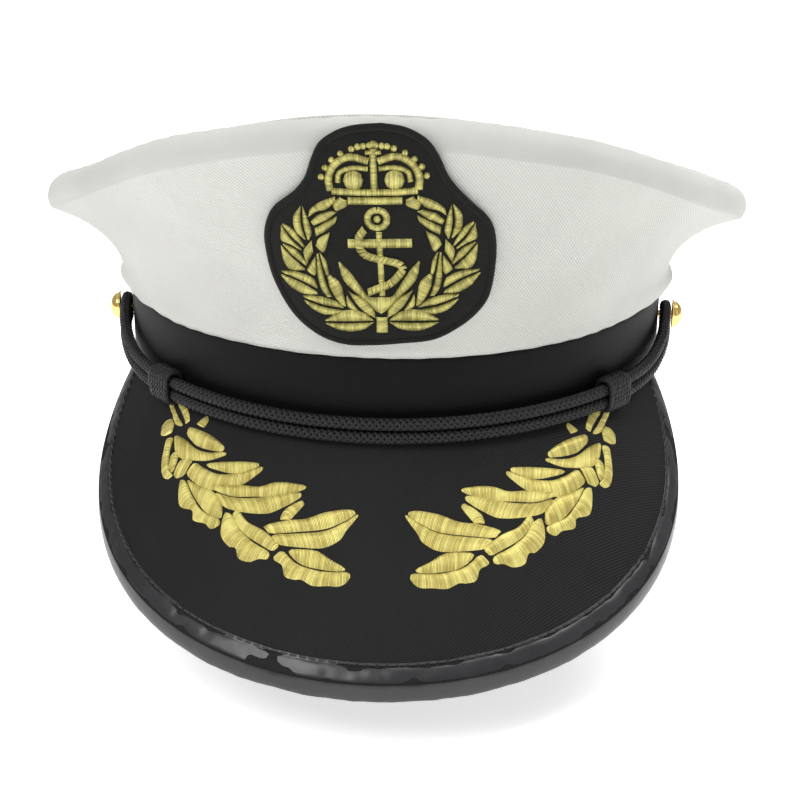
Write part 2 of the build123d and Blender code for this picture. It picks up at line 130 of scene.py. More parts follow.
def badgePoint(x, z, out):
    # a point in front of the crown's taut face
    lean = 8.0
    for _ in range(4):
        alpha = asin(max(-0.9, min(0.9, x / (band["halfWidth"] + lean + out))))
        lean = (z - band["height"]) / tan(sideSlope(alpha))
    return atAngle(alpha, lean + out, z)


def peakHeight(x, y):
    reach = hypot(x, y)
    share = hypot(x / band["halfWidth"], y / band["halfLength"])
    return -tan(radians(peak["slope"])) * (reach - reach / share)


def peakOn(x, y, out):
    return Vector((x, y, peakHeight(x, y) + out / cos(radians(peak["slope"]))))


def peakEdge(w, inset=0.0):
    # the peak's outline from its left root to its right one, w from -1 to 1
    flat = inset * cos(radians(peak["slope"]))
    side = 1 if w > 0 else -1
    part = min(abs(w) / peak["ellipseShare"], 1.0)
    deep = peak["widestY"] - peak["tipY"] - flat
    if abs(w) <= peak["ellipseShare"]:
        turn = part * pi / 2
        return Vector((side * (peak["halfWidth"] - flat) * sin(turn), peak["widestY"] - deep * cos(turn), 0))
    turn = radians(peak["sideTurn"]) * (abs(w) - peak["ellipseShare"]) / (1 - peak["ellipseShare"])
    return Vector((side * (peak["halfWidth"] - flat - peak["sideRadius"] * (1 - cos(turn))),
                   peak["widestY"] + peak["sideRadius"] * sin(turn), 0))


def bentGrid(across, along, place, size=(1.0, 1.0), merge=0.0):
    # a flat grid bent to a surface; its UV map is in millimetres
    bm = bmesh.new()
    bmesh.ops.create_grid(bm, x_segments=across, y_segments=along, size=1.0)
    low = min(v.co.x for v in bm.verts)
    wide = max(v.co.x for v in bm.verts) - low
    pattern = bm.loops.layers.uv.new("pattern")
    for face in bm.faces:
        for loop in face.loops:
            u, v = (loop.vert.co.x - low) / wide, (loop.vert.co.y - low) / wide
            loop[pattern].uv = (u * size[0], v * size[1])
    for vert in bm.verts:
        vert.co = Vector(place((vert.co.x - low) / wide, (vert.co.y - low) / wide)) * mm
    if merge:
        bmesh.ops.remove_doubles(bm, verts=bm.verts[:], dist=merge * mm)
    return bm


def planPattern(bm, stretch):
    # lays the UV map flat, seen from above, with its second direction stretched
    pattern = bm.loops.layers.uv["pattern"]
    for face in bm.faces:
        for loop in face.loops:
            loop[pattern].uv = (loop.vert.co.x / mm, loop.vert.co.y / mm * stretch)


def faceAway(bm, centre):
    # turn the faces outwards from a point inside
    inner = Vector(centre) * mm
    total = sum((f.calc_center_median() - inner).dot(f.normal) * f.calc_area() for f in bm.faces)
    if total < 0:
        bmesh.ops.reverse_faces(bm, faces=bm.faces[:])


def makePiece(name, source, material, body="cap", replaces=(), wall=0.0, smooth=True):
    mesh = source
    if isinstance(source, bmesh.types.BMesh):
        mesh = bpy.data.meshes.new(name)
        source.to_mesh(mesh)
        source.free()
    mesh.name = name
    piece = bpy.data.objects.new(name, mesh)
    scene.collection.objects.link(piece)
    mesh.materials.clear()
    mesh.materials.append(material)
    mesh.polygons.foreach_set("use_smooth", [smooth] * len(mesh.polygons))
    if wall:
        thick = piece.modifiers.new("wall", "SOLIDIFY")
        thick.thickness = wall * mm
        thick.offset = -1.0
        thick.use_quality_normals = True
    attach(piece, body)
    if replaces:
        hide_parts(*replaces)
    return piece


def tubeMesh(paths, radius, corners=2, closed=False):
    # round tubes along lists of points, made as bevelled curves
    curve = bpy.data.curves.new("tube", "CURVE")
    curve.dimensions = "3D"
    curve.bevel_depth = radius * mm
    curve.bevel_resolution = corners
    curve.use_fill_caps = not closed
    for path in paths:
        spline = curve.splines.new("POLY")
        spline.points.add(len(path) - 1)
        for point, co in zip(spline.points, path):
            point.co = (co[0] * mm, co[1] * mm, co[2] * mm, 1)
        spline.use_cyclic_u = closed
    holder = bpy.data.objects.new("tube", curve)
    mesh = bpy.data.meshes.new_from_object(holder)
    bpy.data.objects.remove(holder)
    bpy.data.curves.remove(curve)
    return mesh


def joinMeshes(meshes):
    bm = bmesh.new()
    for mesh in meshes:
        bm.from_mesh(mesh)
        bpy.data.meshes.remove(mesh)
    return bm


def readRoute(points):
    # the smooth line of a NURBS spline through given control points, in millimetres
    curve = bpy.data.curves.new("route", "CURVE")
    curve.dimensions = "3D"
    spline = curve.splines.new("NURBS")
    spline.points.add(len(points) - 1)
    for point, co in zip(spline.points, points):
        point.co = (*co, 1)
    spline.order_u = 3
    spline.use_endpoint_u = True
    spline.resolution_u = 24
    holder = bpy.data.objects.new("route", curve)
    mesh = bpy.data.meshes.new_from_object(holder)
    line = [v.co / mm for v in mesh.vertices]
    bpy.data.objects.remove(holder)
    bpy.data.meshes.remove(mesh)
    bpy.data.curves.remove(curve)
    return line


def evenPath(line, step):
    # the same line at even steps, with a frame that does not twist
    total = sum((b - a).length for a, b in zip(line, line[1:]))
    count = max(2, int(ceil(total / step)))
    spots, walked, index = [], 0.0, 0
    for i in range(count + 1):
        want = min(total * i / count, total - 1e-6)
        while walked + (line[index + 1] - line[index]).length < want:
            walked += (line[index + 1] - line[index]).length
            index += 1
        gap = (line[index + 1] - line[index]).length
        spots.append(line[index].lerp(line[index + 1], (want - walked) / gap))
    frames = []
    side = None
    for i, spot in enumerate(spots):
        along = (spots[min(i + 1, count)] - spots[max(i - 1, 0)]).normalized()
        if side is None:
            side = along.cross(Vector((0, 0, 1))).normalized()
        side = (side - along * side.dot(along)).normalized()
        frames.append((spot, side.copy(), along.cross(side), total * i / count))
    return frames


def smoothLine(points, count):
    # count+1 points on a soft curve through a few points
    spots = [Vector(p) for p in points]
    gaps = [0.0]
    for a, b in zip(spots, spots[1:]):
        gaps.append(gaps[-1] + max((b - a).length, 1e-6))
    result = []
    index = 0
    for i in range(count + 1):
        want = gaps[-1] * i / count
        while index < len(spots) - 2 and gaps[index + 1] < want:
            index += 1
        a, b = spots[index], spots[index + 1]
        before = spots[index - 1] if index else a * 2 - b
        after = spots[index + 2] if index + 2 < len(spots) else b * 2 - a
        t = (want - gaps[index]) / (gaps[index + 1] - gaps[index])
        span = gaps[index + 1] - gaps[index]
        leftSpan = gaps[index] - gaps[index - 1] if index else span
        rightSpan = gaps[index + 2] - gaps[index + 1] if index + 2 < len(spots) else span
        slopeA = (b - before) / (span + leftSpan) * span
        slopeB = (after - a) / (span + rightSpan) * span
        rise = b - a
        bend = 3 * rise - 2 * slopeA - slopeB
        result.append(a + t * (slopeA + t * (bend + t * (slopeA + slopeB - 2 * rise))))
    return result


class Wire:
    # a socket that takes part in sums
    def __init__(self, recipe, socket):
        self.recipe = recipe
        self.socket = socket

    def sum(self, operation, *others):
        node = self.recipe.tree.nodes.new("ShaderNodeMath")
        node.operation = operation
        for place, value in enumerate((self,) + others):
            self.recipe.feed(node.inputs[place], value)
        return Wire(self.recipe, node.outputs[0])

    def __add__(self, other):
        return self.sum("ADD", other)

    __radd__ = __add__

    def __mul__(self, other):
        return self.sum("MULTIPLY", other)

    __rmul__ = __mul__

    def __sub__(self, other):
        return self.sum("SUBTRACT", other)

    def __rsub__(self, other):
        return (self * -1.0) + other

    def __truediv__(self, other):
        return self.sum("DIVIDE", other)

    def __abs__(self):
        return self.sum("ABSOLUTE")

    def sine(self):
        return self.sum("SINE")

    def floor(self):
        return self.sum("FLOOR")

    def fraction(self):
        return self.sum("FRACT")

    def clamped(self):
        node = self.recipe.tree.nodes.new("ShaderNodeClamp")
        self.recipe.feed(node.inputs[0], self)
        return Wire(self.recipe, node.outputs[0])


class Recipe:
    # one procedural material
    def __init__(self, name, colour, roughness, **fixed):
        self.material = bpy.data.materials.new(name)
        self.material.use_nodes = True
        self.tree = self.material.node_tree
        self.shader = self.tree.nodes["Principled BSDF"]
        self.shader.inputs["Base Color"].default_value = (*colour, 1)
        self.shader.inputs["Roughness"].default_value = roughness
        for key, value in fixed.items():
            self.shader.inputs[key.replace("_", " ")].default_value = value
        self.material.diffuse_color = (*colour, 1)

    def feed(self, socket, value):
        if isinstance(value, Wire):
            self.tree.links.new(value.socket, socket)
        else:
            socket.default_value = value

    def node(self, kind, settings=None, values=None, output=0):
        made = self.tree.nodes.new(kind)
        for key, value in (settings or {}).items():
            setattr(made, key, value)
        for key, value in (values or {}).items():
            self.feed(made.inputs[key], value)
        return Wire(self, made.outputs[output])

    def pattern(self):
        # the two UV distances in millimetres
        spot = self.node("ShaderNodeUVMap", {"uv_map": "pattern"})
        split = self.tree.nodes.new("ShaderNodeSeparateXYZ")
        self.feed(split.inputs[0], spot)
        return Wire(self, split.outputs[0]), Wire(self, split.outputs[1])

    def objectSpot(self):
        return self.node("ShaderNodeTexCoord", output="Object")

    def noise(self, scale, detail=2.0, spot=None, roughness=0.5):
        return self.node("ShaderNodeTexNoise", None, {"Vector": spot or self.objectSpot(), "Scale": scale,
                                                      "Detail": detail, "Roughness": roughness})

    def mix(self, factor, low, high):
        return self.node("ShaderNodeMix", {"data_type": "RGBA"},
                         {0: factor, 6: low if isinstance(low, Wire) else (*low, 1),
                          7: high if isinstance(high, Wire) else (*high, 1)}, 2)

    def colour(self, wire):
        self.feed(self.shader.inputs["Base Color"], wire)

    def rough(self, wire):
        self.feed(self.shader.inputs["Roughness"], wire)

    def bump(self, height, distance, strength=1.0):
        made = self.node("ShaderNodeBump", None, {"Height": height, "Distance": distance * mm,
                                                  "Strength": strength})
        self.feed(self.shader.inputs["Normal"], made)


def whiteTwill():
    made = Recipe("whiteTwill", (0.78, 0.775, 0.76), 0.85, Sheen_Weight=0.15, Sheen_Roughness=0.5,
                  Specular_IOR_Level=0.25)
    u, v = made.pattern()
    rib = ((u + v * 1.25) * (2 * pi / 0.95)).sine() * 0.5 + 0.5
    yarn = ((u - v * 0.8) * (2 * pi / 0.55)).sine() * 0.5 + 0.5
    cloud = made.noise(34.0, 3.0)
    height = rib * 0.65 + yarn * 0.35
    made.bump(height + cloud * 0.25, 0.16, 0.7)
    shade = (height * 0.6 + cloud * 0.4).clamped()
    made.colour(made.mix(shade, (0.37, 0.37, 0.35), (0.70, 0.695, 0.66)))
    return made.material


def blackTwill(name, tone, roughness, period, sheen, gloss):
    made = Recipe(name, (tone, tone, tone * 1.05), roughness, Sheen_Weight=sheen, Sheen_Roughness=0.4,
                  Specular_IOR_Level=gloss)
    u, v = made.pattern()
    rib = ((u + v) * (2 * pi / period)).sine() * 0.5 + 0.5
    yarn = ((u - v * 0.7) * (2 * pi / (period * 0.6))).sine() * 0.5 + 0.5
    cloud = made.noise(60.0, 3.0)
    height = rib * 0.7 + yarn * 0.3
    made.bump(height + cloud * 0.2, 0.09, 0.6)
    made.colour(made.mix((height * 0.7 + cloud * 0.3).clamped(), (tone * 0.1,) * 3,
                         (tone * 2.4, tone * 2.4, tone * 2.45)))
    made.rough(cloud * 0.12 + (roughness - 0.06))
    return made.material


def glossyEdge():
    made = Recipe("glossyEdge", (0.012, 0.012, 0.013), 0.3, Coat_Weight=0.22, Coat_Roughness=0.2,
                  Specular_IOR_Level=0.4)
    crinkle = made.noise(210.0, 2.0)
    fold = made.noise(70.0, 1.5)
    made.bump(crinkle * 0.35 + fold * 0.9, 0.9, 0.5)
    made.rough(crinkle * 0.2 + 0.24)
    made.colour(made.mix(fold, (0.006, 0.006, 0.007), (0.022, 0.022, 0.025)))
    return made.material


def goldThread(name, dark, light, pitch):
    made = Recipe(name, light, 0.32, Metallic=0.45, Specular_IOR_Level=0.6)
    u, v = made.pattern()
    turn = u / pitch
    ridge = abs((turn * pi).sine())
    number = turn.floor()
    jitter = ((number * 12.9898).sine() * 43758.5453).fraction()
    cloud = made.noise(420.0, 2.0)
    twist = ((v * 9.0 + number * 1.7) * 2.0).sine() * 0.5 + 0.5
    made.bump(ridge + twist * 0.15, 0.14, 0.8)
    # the colour follows the ridge: painted shade between the threads and painted highlight on their tops,
    # mixed with random tone per thread and a cloud
    tone = (ridge * 0.5 + jitter * 0.45 + cloud * 0.55 - 0.28).clamped()
    made.colour(made.mix(tone, dark, light))
    made.rough(jitter * 0.2 + 0.28)
    return made.material


def blackFelt():
    made = Recipe("blackFelt", (0.010, 0.010, 0.010), 0.95, Sheen_Weight=0.06, Sheen_Roughness=0.6,
                  Specular_IOR_Level=0.1)
    fibre = made.noise(1500.0, 3.0)
    cloud = made.noise(150.0, 2.0)
    made.bump(fibre, 0.18, 0.7)
    made.colour(made.mix((fibre * 0.6 + cloud * 0.4).clamped(), (0.003, 0.003, 0.003), (0.014, 0.014, 0.013)))
    return made.material


def blackBraid():
    made = Recipe("blackBraid", (0.012, 0.012, 0.013), 0.5, Sheen_Weight=0.04, Sheen_Roughness=0.4,
                  Specular_IOR_Level=0.3)
    fibre = made.noise(2600.0, 2.0)
    cloud = made.noise(180.0, 2.0)
    made.bump(fibre, 0.1, 0.6)
    made.colour(made.mix((fibre * 0.7 + cloud * 0.3).clamped(), (0.004, 0.004, 0.005), (0.020, 0.020, 0.023)))
    made.rough(fibre * 0.2 + 0.4)
    return made.material


def giltMetal():
    made = Recipe("giltMetal", (0.93, 0.66, 0.22), 0.16, Metallic=1.0)
    wear = made.noise(500.0, 3.0)
    made.rough(wear * 0.2 + 0.06)
    made.colour(made.mix(wear, (0.86, 0.56, 0.15), (0.98, 0.74, 0.30)))
    made.bump(wear, 0.02, 0.3)
    return made.material


def sweatLeather():
    made = Recipe("sweatLeather", (0.05, 0.032, 0.022), 0.5, Specular_IOR_Level=0.4)
    cells = made.node("ShaderNodeTexVoronoi", None, {"Vector": made.objectSpot(), "Scale": 900.0})
    cloud = made.noise(60.0, 3.0)
    made.bump(cells + cloud * 0.4, 0.08, 0.5)
    made.colour(made.mix(cloud, (0.03, 0.019, 0.013), (0.085, 0.055, 0.036)))
    made.rough(cloud * 0.25 + 0.38)
    return made.material


def liningCloth():
    made = Recipe("liningCloth", (0.05, 0.05, 0.055), 0.55, Sheen_Weight=0.3, Sheen_Roughness=0.3)
    u, v = made.pattern()
    weave = (u * (2 * pi / 0.5)).sine() * (v * (2 * pi / 0.5)).sine() * 0.5 + 0.5
    cloud = made.noise(40.0, 2.0)
    made.bump(weave, 0.05, 0.5)
    made.colour(made.mix((weave * 0.5 + cloud * 0.5).clamped(), (0.022, 0.022, 0.026), (0.075, 0.075, 0.085)))
    return made.material


def mouldedSheet(name, dark, light, roughness, scale, **fixed):
    made = Recipe(name, light, roughness, **fixed)
    grain = made.noise(scale, 3.0)
    made.bump(grain, 0.08, 0.5)
    made.colour(made.mix(grain, dark, light))
    made.rough(grain * 0.15 + (roughness - 0.07))
    return made.material


finish = dict(
    white=whiteTwill(),
    band=blackTwill("bandTwill", 0.004, 0.55, 0.75, 0.0, 0.09),
    peak=blackTwill("peakTwill", 0.009, 0.65, 0.95, 0.0, 0.14),
    edge=glossyEdge(),
    # the spray and badge threads: the dark colour is painted shade between threads, the light colour painted
    # highlight on the thread tops
    spray=goldThread("sprayThread", (0.30, 0.19, 0.01), (1.0, 0.92, 0.31), 0.42),
    badge=goldThread("badgeThread", (0.09, 0.075, 0.01), (0.78, 0.72, 0.24), 0.40),
    felt=blackFelt(),
    braid=blackBraid(),
    gilt=giltMetal(),
    leather=sweatLeather(),
    lining=liningCloth(),
    board=mouldedSheet("fibreBoard", (0.05, 0.045, 0.04), (0.12, 0.11, 0.10), 0.7, 300.0),
    canvas=mouldedSheet("stiffCanvas", (0.5, 0.46, 0.38), (0.74, 0.70, 0.62), 0.85, 700.0),
    rod=mouldedSheet("stiffRod", (0.42, 0.36, 0.26), (0.60, 0.53, 0.42), 0.5, 260.0),
    steel=mouldedSheet("drawnSteel", (0.40, 0.40, 0.41), (0.62, 0.62, 0.63), 0.3, 400.0, Metallic=1.0),
    underside=mouldedSheet("peakUnderside", (0.012, 0.014, 0.013), (0.035, 0.040, 0.036), 0.45, 900.0),
    stitch=mouldedSheet("blackStitch", (0.01, 0.01, 0.01), (0.04, 0.04, 0.045), 0.5, 1500.0),
)
print("materials made")

chinCord = dict(diameter=3.8, strands=4, lay=7.4, braidRadius=1.14, weave=0.26, strandRadius=0.56, step=0.46)
rightRoute = [
    (-0.0644, -0.0757, 0.0068), (-0.0543, -0.0861, 0.0067), (-0.0376, -0.0972, 0.0063),
    (-0.0192, -0.1041, 0.006), (0.0008, -0.1064, 0.0059), (0.0192, -0.1041, 0.006),
    (0.0376, -0.0972, 0.0063), (0.0543, -0.0861, 0.0067), (0.0681, -0.0719, 0.0069),
    (0.079, -0.0547, 0.0077), (0.0852, -0.0387, 0.0106), (0.0882, -0.0244, 0.0142),
    (0.08986, -0.0109, 0.0155), (0.08986, -0.0109, 0.0085), (0.0882, -0.0244, 0.0092),
    (0.0852, -0.0387, 0.0068), (0.079, -0.0547, 0.0038), (0.0681, -0.0719, 0.003),
    (0.0644, -0.0757, 0.0029),
]
leftRoute = [
    (0.0644, -0.0757, 0.0029), (0.0543, -0.0861, 0.0028), (0.0376, -0.0972, 0.0024),
    (0.0192, -0.1041, 0.0021), (-0.0008, -0.1064, 0.002), (-0.0192, -0.1041, 0.0021),
    (-0.0376, -0.0972, 0.0024), (-0.0543, -0.0861, 0.0028), (-0.0681, -0.0719, 0.003),
    (-0.079, -0.0547, 0.0038), (-0.0852, -0.0387, 0.0068), (-0.0882, -0.0244, 0.0092),
    (-0.08986, -0.0109, 0.0085), (-0.08986, -0.0109, 0.0155), (-0.0882, -0.0244, 0.0142),
    (-0.0852, -0.0387, 0.0106), (-0.079, -0.0547, 0.0077), (-0.0681, -0.0719, 0.0069),
    (-0.0644, -0.0757, 0.0068),
]


def braidedCord(name, route, node):
    line = readRoute(route)
    frames = evenPath(line, chinCord["step"])
    paths = []
    for hand in (1, -1):
        for k in range(chinCord["strands"]):
            strand = []
            for spot, side, up, walked in frames:
                turn = 2 * pi * walked / chinCord["lay"]
                angle = hand * turn + 2 * pi * k / chinCord["strands"]
                radius = chinCord["braidRadius"] + hand * chinCord["weave"] * cos(4 * turn)
                strand.append(spot + side * (radius * cos(angle)) + up * (radius * sin(angle)))
            paths.append(strand)
    mesh = tubeMesh(paths, chinCord["strandRadius"], 1)
    piece = makePiece(name, mesh, finish["braid"], "chin_cord", (node,))
    length = sum((b - a).length for a, b in zip(line, line[1:]))
    length * mm
    return line


braidedCord("chinCordRight", rightRoute, "chin_cord_right")
braidedCord("chinCordLeft", leftRoute, "chin_cord_left")

slideKnot = dict(angle=46.0, standoff=3.9, middleZ=5.25, turns=6, length=8.6, halfGap=1.95, wrap=2.75,
                 twine=0.44,
                 sides=40, step=0.55, strands=3, lay=4.2, strandRadius=0.52, endRadius=0.75)


def slideKnotPiece(name, side, node):
    alpha = radians(slideKnot["angle"])
    centre = atAngle(side * alpha, slideKnot["standoff"], slideKnot["middleZ"])
    along = Vector((cos(alpha) * (band["halfWidth"] + slideKnot["standoff"]),
                    side * sin(alpha) * (band["halfLength"] + slideKnot["standoff"]), 0)).normalized()
    up = Vector((0, 0, 1))
    out = along.cross(up)
    if out.dot(centre) < 0:
        out = -out

    def around(turn, place, wrap):
        # a point on the loop round both cords
        lift = slideKnot["halfGap"] * max(-1.0, min(1.0, 2.2 * sin(turn)))
        return centre + along * place + out * (wrap * cos(turn)) + up * (lift + wrap * sin(turn))
    sides, strands = slideKnot["sides"], slideKnot["strands"]
    total = slideKnot["turns"] * sides
    line = [around(2 * pi * i / sides, (i / total - 0.5) * slideKnot["length"], slideKnot["wrap"])
            for i in range(total + 1)]
    paths = []
    frames = evenPath(line, slideKnot["step"])
    for k in range(strands):
        strand = []
        for spot, sideways, upward, walked in frames:
            angle = 2 * pi * (walked / slideKnot["lay"] + k / strands)
            strand.append(spot + (sideways * cos(angle) + upward * sin(angle)) * slideKnot["twine"])
        paths.append(strand)
    ends = [[around(2 * pi * i / sides, end * slideKnot["length"],
                    slideKnot["wrap"] * 0.98) for i in range(sides)]
            for end in (-0.5, 0.5)]
    mesh = joinMeshes([tubeMesh(paths, slideKnot["strandRadius"], 1),
                       tubeMesh(ends, slideKnot["endRadius"], 2, True)])
    return makePiece(name, mesh, finish["braid"], node, (node,))


slideKnotPiece("slideKnotRight", 1, "slide_knot_right")
slideKnotPiece("slideKnotLeft", -1, "slide_knot_left")
print("cords made")

crownLook = dict(wave=0.75, waveSize=34.0, pucker=0.16, seamDip=0.9, hemBulge=0.6, sag=7.6, backSag=3.0,
                 drape=1.8, meanRadius=95, sideRun=55)


def clothWave(point):
    spot = point / crownLook["waveSize"]
    return crownLook["wave"] * noise.noise(spot) + 0.35 * crownLook["wave"] * noise.noise(spot * 2.3)


def clothSag(alpha, step):
    # the cloth hollows inwards below the rim at the sides and stands out again over the band
    if not 0 < step < 1.1:
        return 0.0
    away = max(0.0, abs(sin(alpha)) - 0.62) / 0.38 if cos(alpha) > 0 else 1.0
    deep = crownLook["sag"] if cos(alpha) > 0 else crownLook["backSag"] + (
        crownLook["sag"] - crownLook["backSag"]) * sin(alpha) ** 2
    hollow = deep * sin(pi * step / 1.1) ** 1.8
    return away ** 1.5 * (hollow - crownLook["drape"] * exp(-((step - 0.14) / 0.11) ** 2))


def crownSurface(alpha, step, seams=(-pi / 2, pi / 2)):
    base = crownPoint(alpha, 0, step)
    inset = -clothWave(base) + clothSag(alpha, step)
    crestGap = (2 - step) * crown["rimRadius"] * 1.6
    inset += crownLook["seamDip"] * exp(-(crestGap / 1.1) ** 2)
    inset -= 0.12 * sin(alpha * crownLook["meanRadius"]) * exp(-(crestGap / 3.5) ** 2)
    for seam in seams:
        gap = (alpha - seam) * crownLook["meanRadius"]
        inset += 0.55 * exp(-(gap / 0.9) ** 2) - 0.12 * exp(-((abs(gap) - 2.4) / 1.6) ** 2)
    rise = step * crownLook["sideRun"]
    inset -= crownLook["hemBulge"] * exp(-((rise - 1.2) / 1.6) ** 2)
    inset -= crownLook["pucker"] * sin(alpha * 60 + 2 * sin(alpha * 9)) * exp(-(rise / 5) ** 2)
    return crownPoint(alpha, inset, step)


def crownPanel(name, start, end, node):
    def place(u, v):
        alpha = radians(start + (end - start) * u)
        seams = (radians(start), radians(end))
        return crownSurface(alpha, 2.0 * v, seams)
    bm = bentGrid(260, 90, place, (300.0, 84.0))
    faceAway(bm, (0, 0, 40))
    piece = makePiece(name, bm, finish["white"], "cap", (node,), crown["cloth"])
    return piece


crownPanel("crownFrontPanel", -90, 90, "crown_front_panel")
crownPanel("crownBackPanel", 90, 270, "crown_back_panel")


def crownTop():
    def place(u, v):
        alpha = 2 * pi * u
        flat = atAngle(alpha, rimOverhang(alpha), 0) * v
        z = topHeight(alpha, v)
        gap = (1 - v) * 100
        z -= crownLook["seamDip"] * exp(-(gap / 1.3) ** 2)
        z += 0.35 * exp(-((gap - 3.0) / 2.0) ** 2)
        z += 0.9 * v * noise.noise(Vector((flat.x, flat.y, 5.0)) / 42)
        return Vector((flat.x, flat.y, z))
    bm = bentGrid(300, 70, place, (600.0, 100.0), 0.01)
    planPattern(bm, 1.0)
    faceAway(bm, (0, 0, -200))
    piece = makePiece("crownTopPanel", bm, finish["white"], "cap", ("crown_top_panel",),
                      crown["cloth"])


crownTop()
print("crown made")

bandLook = dict(wall=0.8, lowRoll=0.5, wave=0.12, sweatWall=0.7, sweatOut=3.2, stitches=190)


def profileSpot(profile, share):
    # the point at a share of the way along a list of corners, each side counting the same
    place = share * (len(profile) - 1)
    low = min(int(place), len(profile) - 2)
    part = place - low
    (inset, height), (nextInset, nextHeight) = profile[low], profile[low + 1]
    return inset + (nextInset - inset) * part, height + (nextHeight - height) * part


def ringPiece(name, profile, material, nodes, size, wave=0.0):
    # a ring round the band from a closed profile of (distance inside the outer face, height)
    def place(u, v):
        alpha = 2 * pi * u
        inset, z = profileSpot(profile, v)
        ripple = wave * noise.noise(atAngle(alpha, 0, z) / 22)
        return atAngle(alpha, ripple - inset, z)
    bm = bentGrid(320, len(profile) - 1, place, size, 0.002)
    bmesh.ops.recalc_face_normals(bm, faces=bm.faces[:])
    return makePiece(name, bm, material, "cap", nodes)


def bandProfile():
    wall, roll, top = bandLook["wall"], bandLook["lowRoll"], band["height"]
    points = [(roll * (1 - cos(t)), roll * (1 - sin(t))) for t in (0.0, 0.4, 0.8, 1.2, pi / 2)][::-1]
    points += [(0, z) for z in (2, 5, 9, 13, 17, 20, 22.5)]
    points += [(0.05, top - 0.5), (0.25, top - 0.1), (wall, top - 0.05), (wall, 12), (wall, roll),
               (roll, 0.0)]
    return points


ringPiece("bandCover", bandProfile(), finish["band"], ("band_cover",), (597.0, 55.0),
          bandLook["wave"])
sweatIn = bandLook["sweatOut"] + bandLook["sweatWall"]
ringPiece("sweatband", [(2.1, 0.25), (2.3, 0.0), (3.3, -0.15), (sweatIn, 0.2), (sweatIn + 0.05, 3),
                        (sweatIn, 8),
                        (sweatIn, 14), (sweatIn, 20), (sweatIn - 0.1, 23.6),
                        (bandLook["sweatOut"] + 0.1, 23.9),
                        (bandLook["sweatOut"], 23), (bandLook["sweatOut"], 10), (bandLook["sweatOut"], 1.4),
                        (2.2, 1.1),
                        (2.1, 0.25)],
          finish["leather"], ("sweatband",), (560.0, 55.0), 0.15)


def stitchRow(name, places, radius, material, share=0.68):
    # short dashes along a line of (point, outward direction)
    paths = []
    for a, b, c in zip(places[::2], places[1::2], places[2::2]):
        start, middle, end = a[0], b[0], c[0]
        lift = b[1] * (radius * 0.9)
        first = middle.lerp(start, share)
        last = middle.lerp(end, share)
        paths.append([first - b[1] * radius * 0.6, first.lerp(middle, 0.4) + lift * 0.8, middle + lift,
                      last.lerp(middle, 0.4) + lift * 0.8, last - b[1] * radius * 0.6])
    return makePiece(name, tubeMesh(paths, radius, 1), material, "cap")


rows = []
stitchSpots = 2 * bandLook["stitches"]
for i in range(stitchSpots + 1):
    alpha = 2 * pi * i / stitchSpots
    inward = (Vector((0, 0, 0)) - atAngle(alpha, 0, 0)).normalized()
    rows.append((atAngle(alpha, -sweatIn - 0.05, 2.6), inward))
stitchRow("sweatbandStitch", rows, 0.22, finish["stitch"])
print("band made")

liningLook = dict(foot=3.3, wall=0.5, gather=0.35, gathers=48, drop=6.9)


def liningPanel(name, start, end, node):
    def place(u, v):
        alpha = radians(start + (end - start) * u)
        step = 0.95 * v
        waves = sin(alpha * liningLook["gathers"])
        gather = liningLook["gather"] * waves * sin(pi * v) ** 0.5 if 0 < v < 1 else 0.0
        inset = liningLook["foot"] * sin(sideSlope(alpha)) + gather + 0.3
        inset += 0.9 * max(0.0, clothSag(alpha, step))
        return crownPoint(alpha, inset, step)
    bm = bentGrid(400, 24, place, (300.0, 60.0))
    faceAway(bm, (0, 0, 40))
    piece = makePiece(name, bm, finish["lining"], "cap", (node,), liningLook["wall"])


liningPanel("liningFront", -90, 90, "lining_front")
liningPanel("liningBack", 90, 270, "lining_back")


def liningTop():
    def place(u, v):
        alpha = 2 * pi * u
        flat = atAngle(alpha, rimOverhang(alpha) - 5.4, 0) * v
        z = topHeight(alpha, v * 0.95) - liningLook["drop"] - 0.3
        z += 0.4 * v * sin(alpha * 36) * v ** 6 + 0.6 * noise.noise(flat / 45) * (1 - v)
        return Vector((flat.x, flat.y, z))
    bm = bentGrid(288, 36, place, (600.0, 90.0), 0.01)
    faceAway(bm, (0, 0, -200))
    piece = makePiece("liningTop", bm, finish["lining"], "cap", ("lining_top",),
                      liningLook["wall"])


liningTop()
print("lining made")


def peakSpot(w, s, out, inset=0.0):
    inner = atAngle(radians(peak["rootAngle"]) * w, 0, 0)
    spot = inner.lerp(peakEdge(w, inset), s)
    return peakOn(spot.x, spot.y, out)


def peakCover():
    def place(u, v):
        w = max(-0.9999, min(0.9999, 2 * u - 1))
        swell = 0.10 * noise.noise(Vector((w * 7, v * 3, 2.0)))
        return peakSpot(w, v, peak["coverHigh"] + swell * (v < 0.97), 0.9)
    bm = bentGrid(260, 70, place, (300.0, 72.0))
    planPattern(bm, -1.3)
    faceAway(bm, (0, -60, -300))
    makePiece("peakCover", bm, finish["peak"], "cap", ("peak_cover",), 0.6)


peakCover()
bindingLook = dict(crinkle=0.22, stitchInset=5.6, stitches=118)


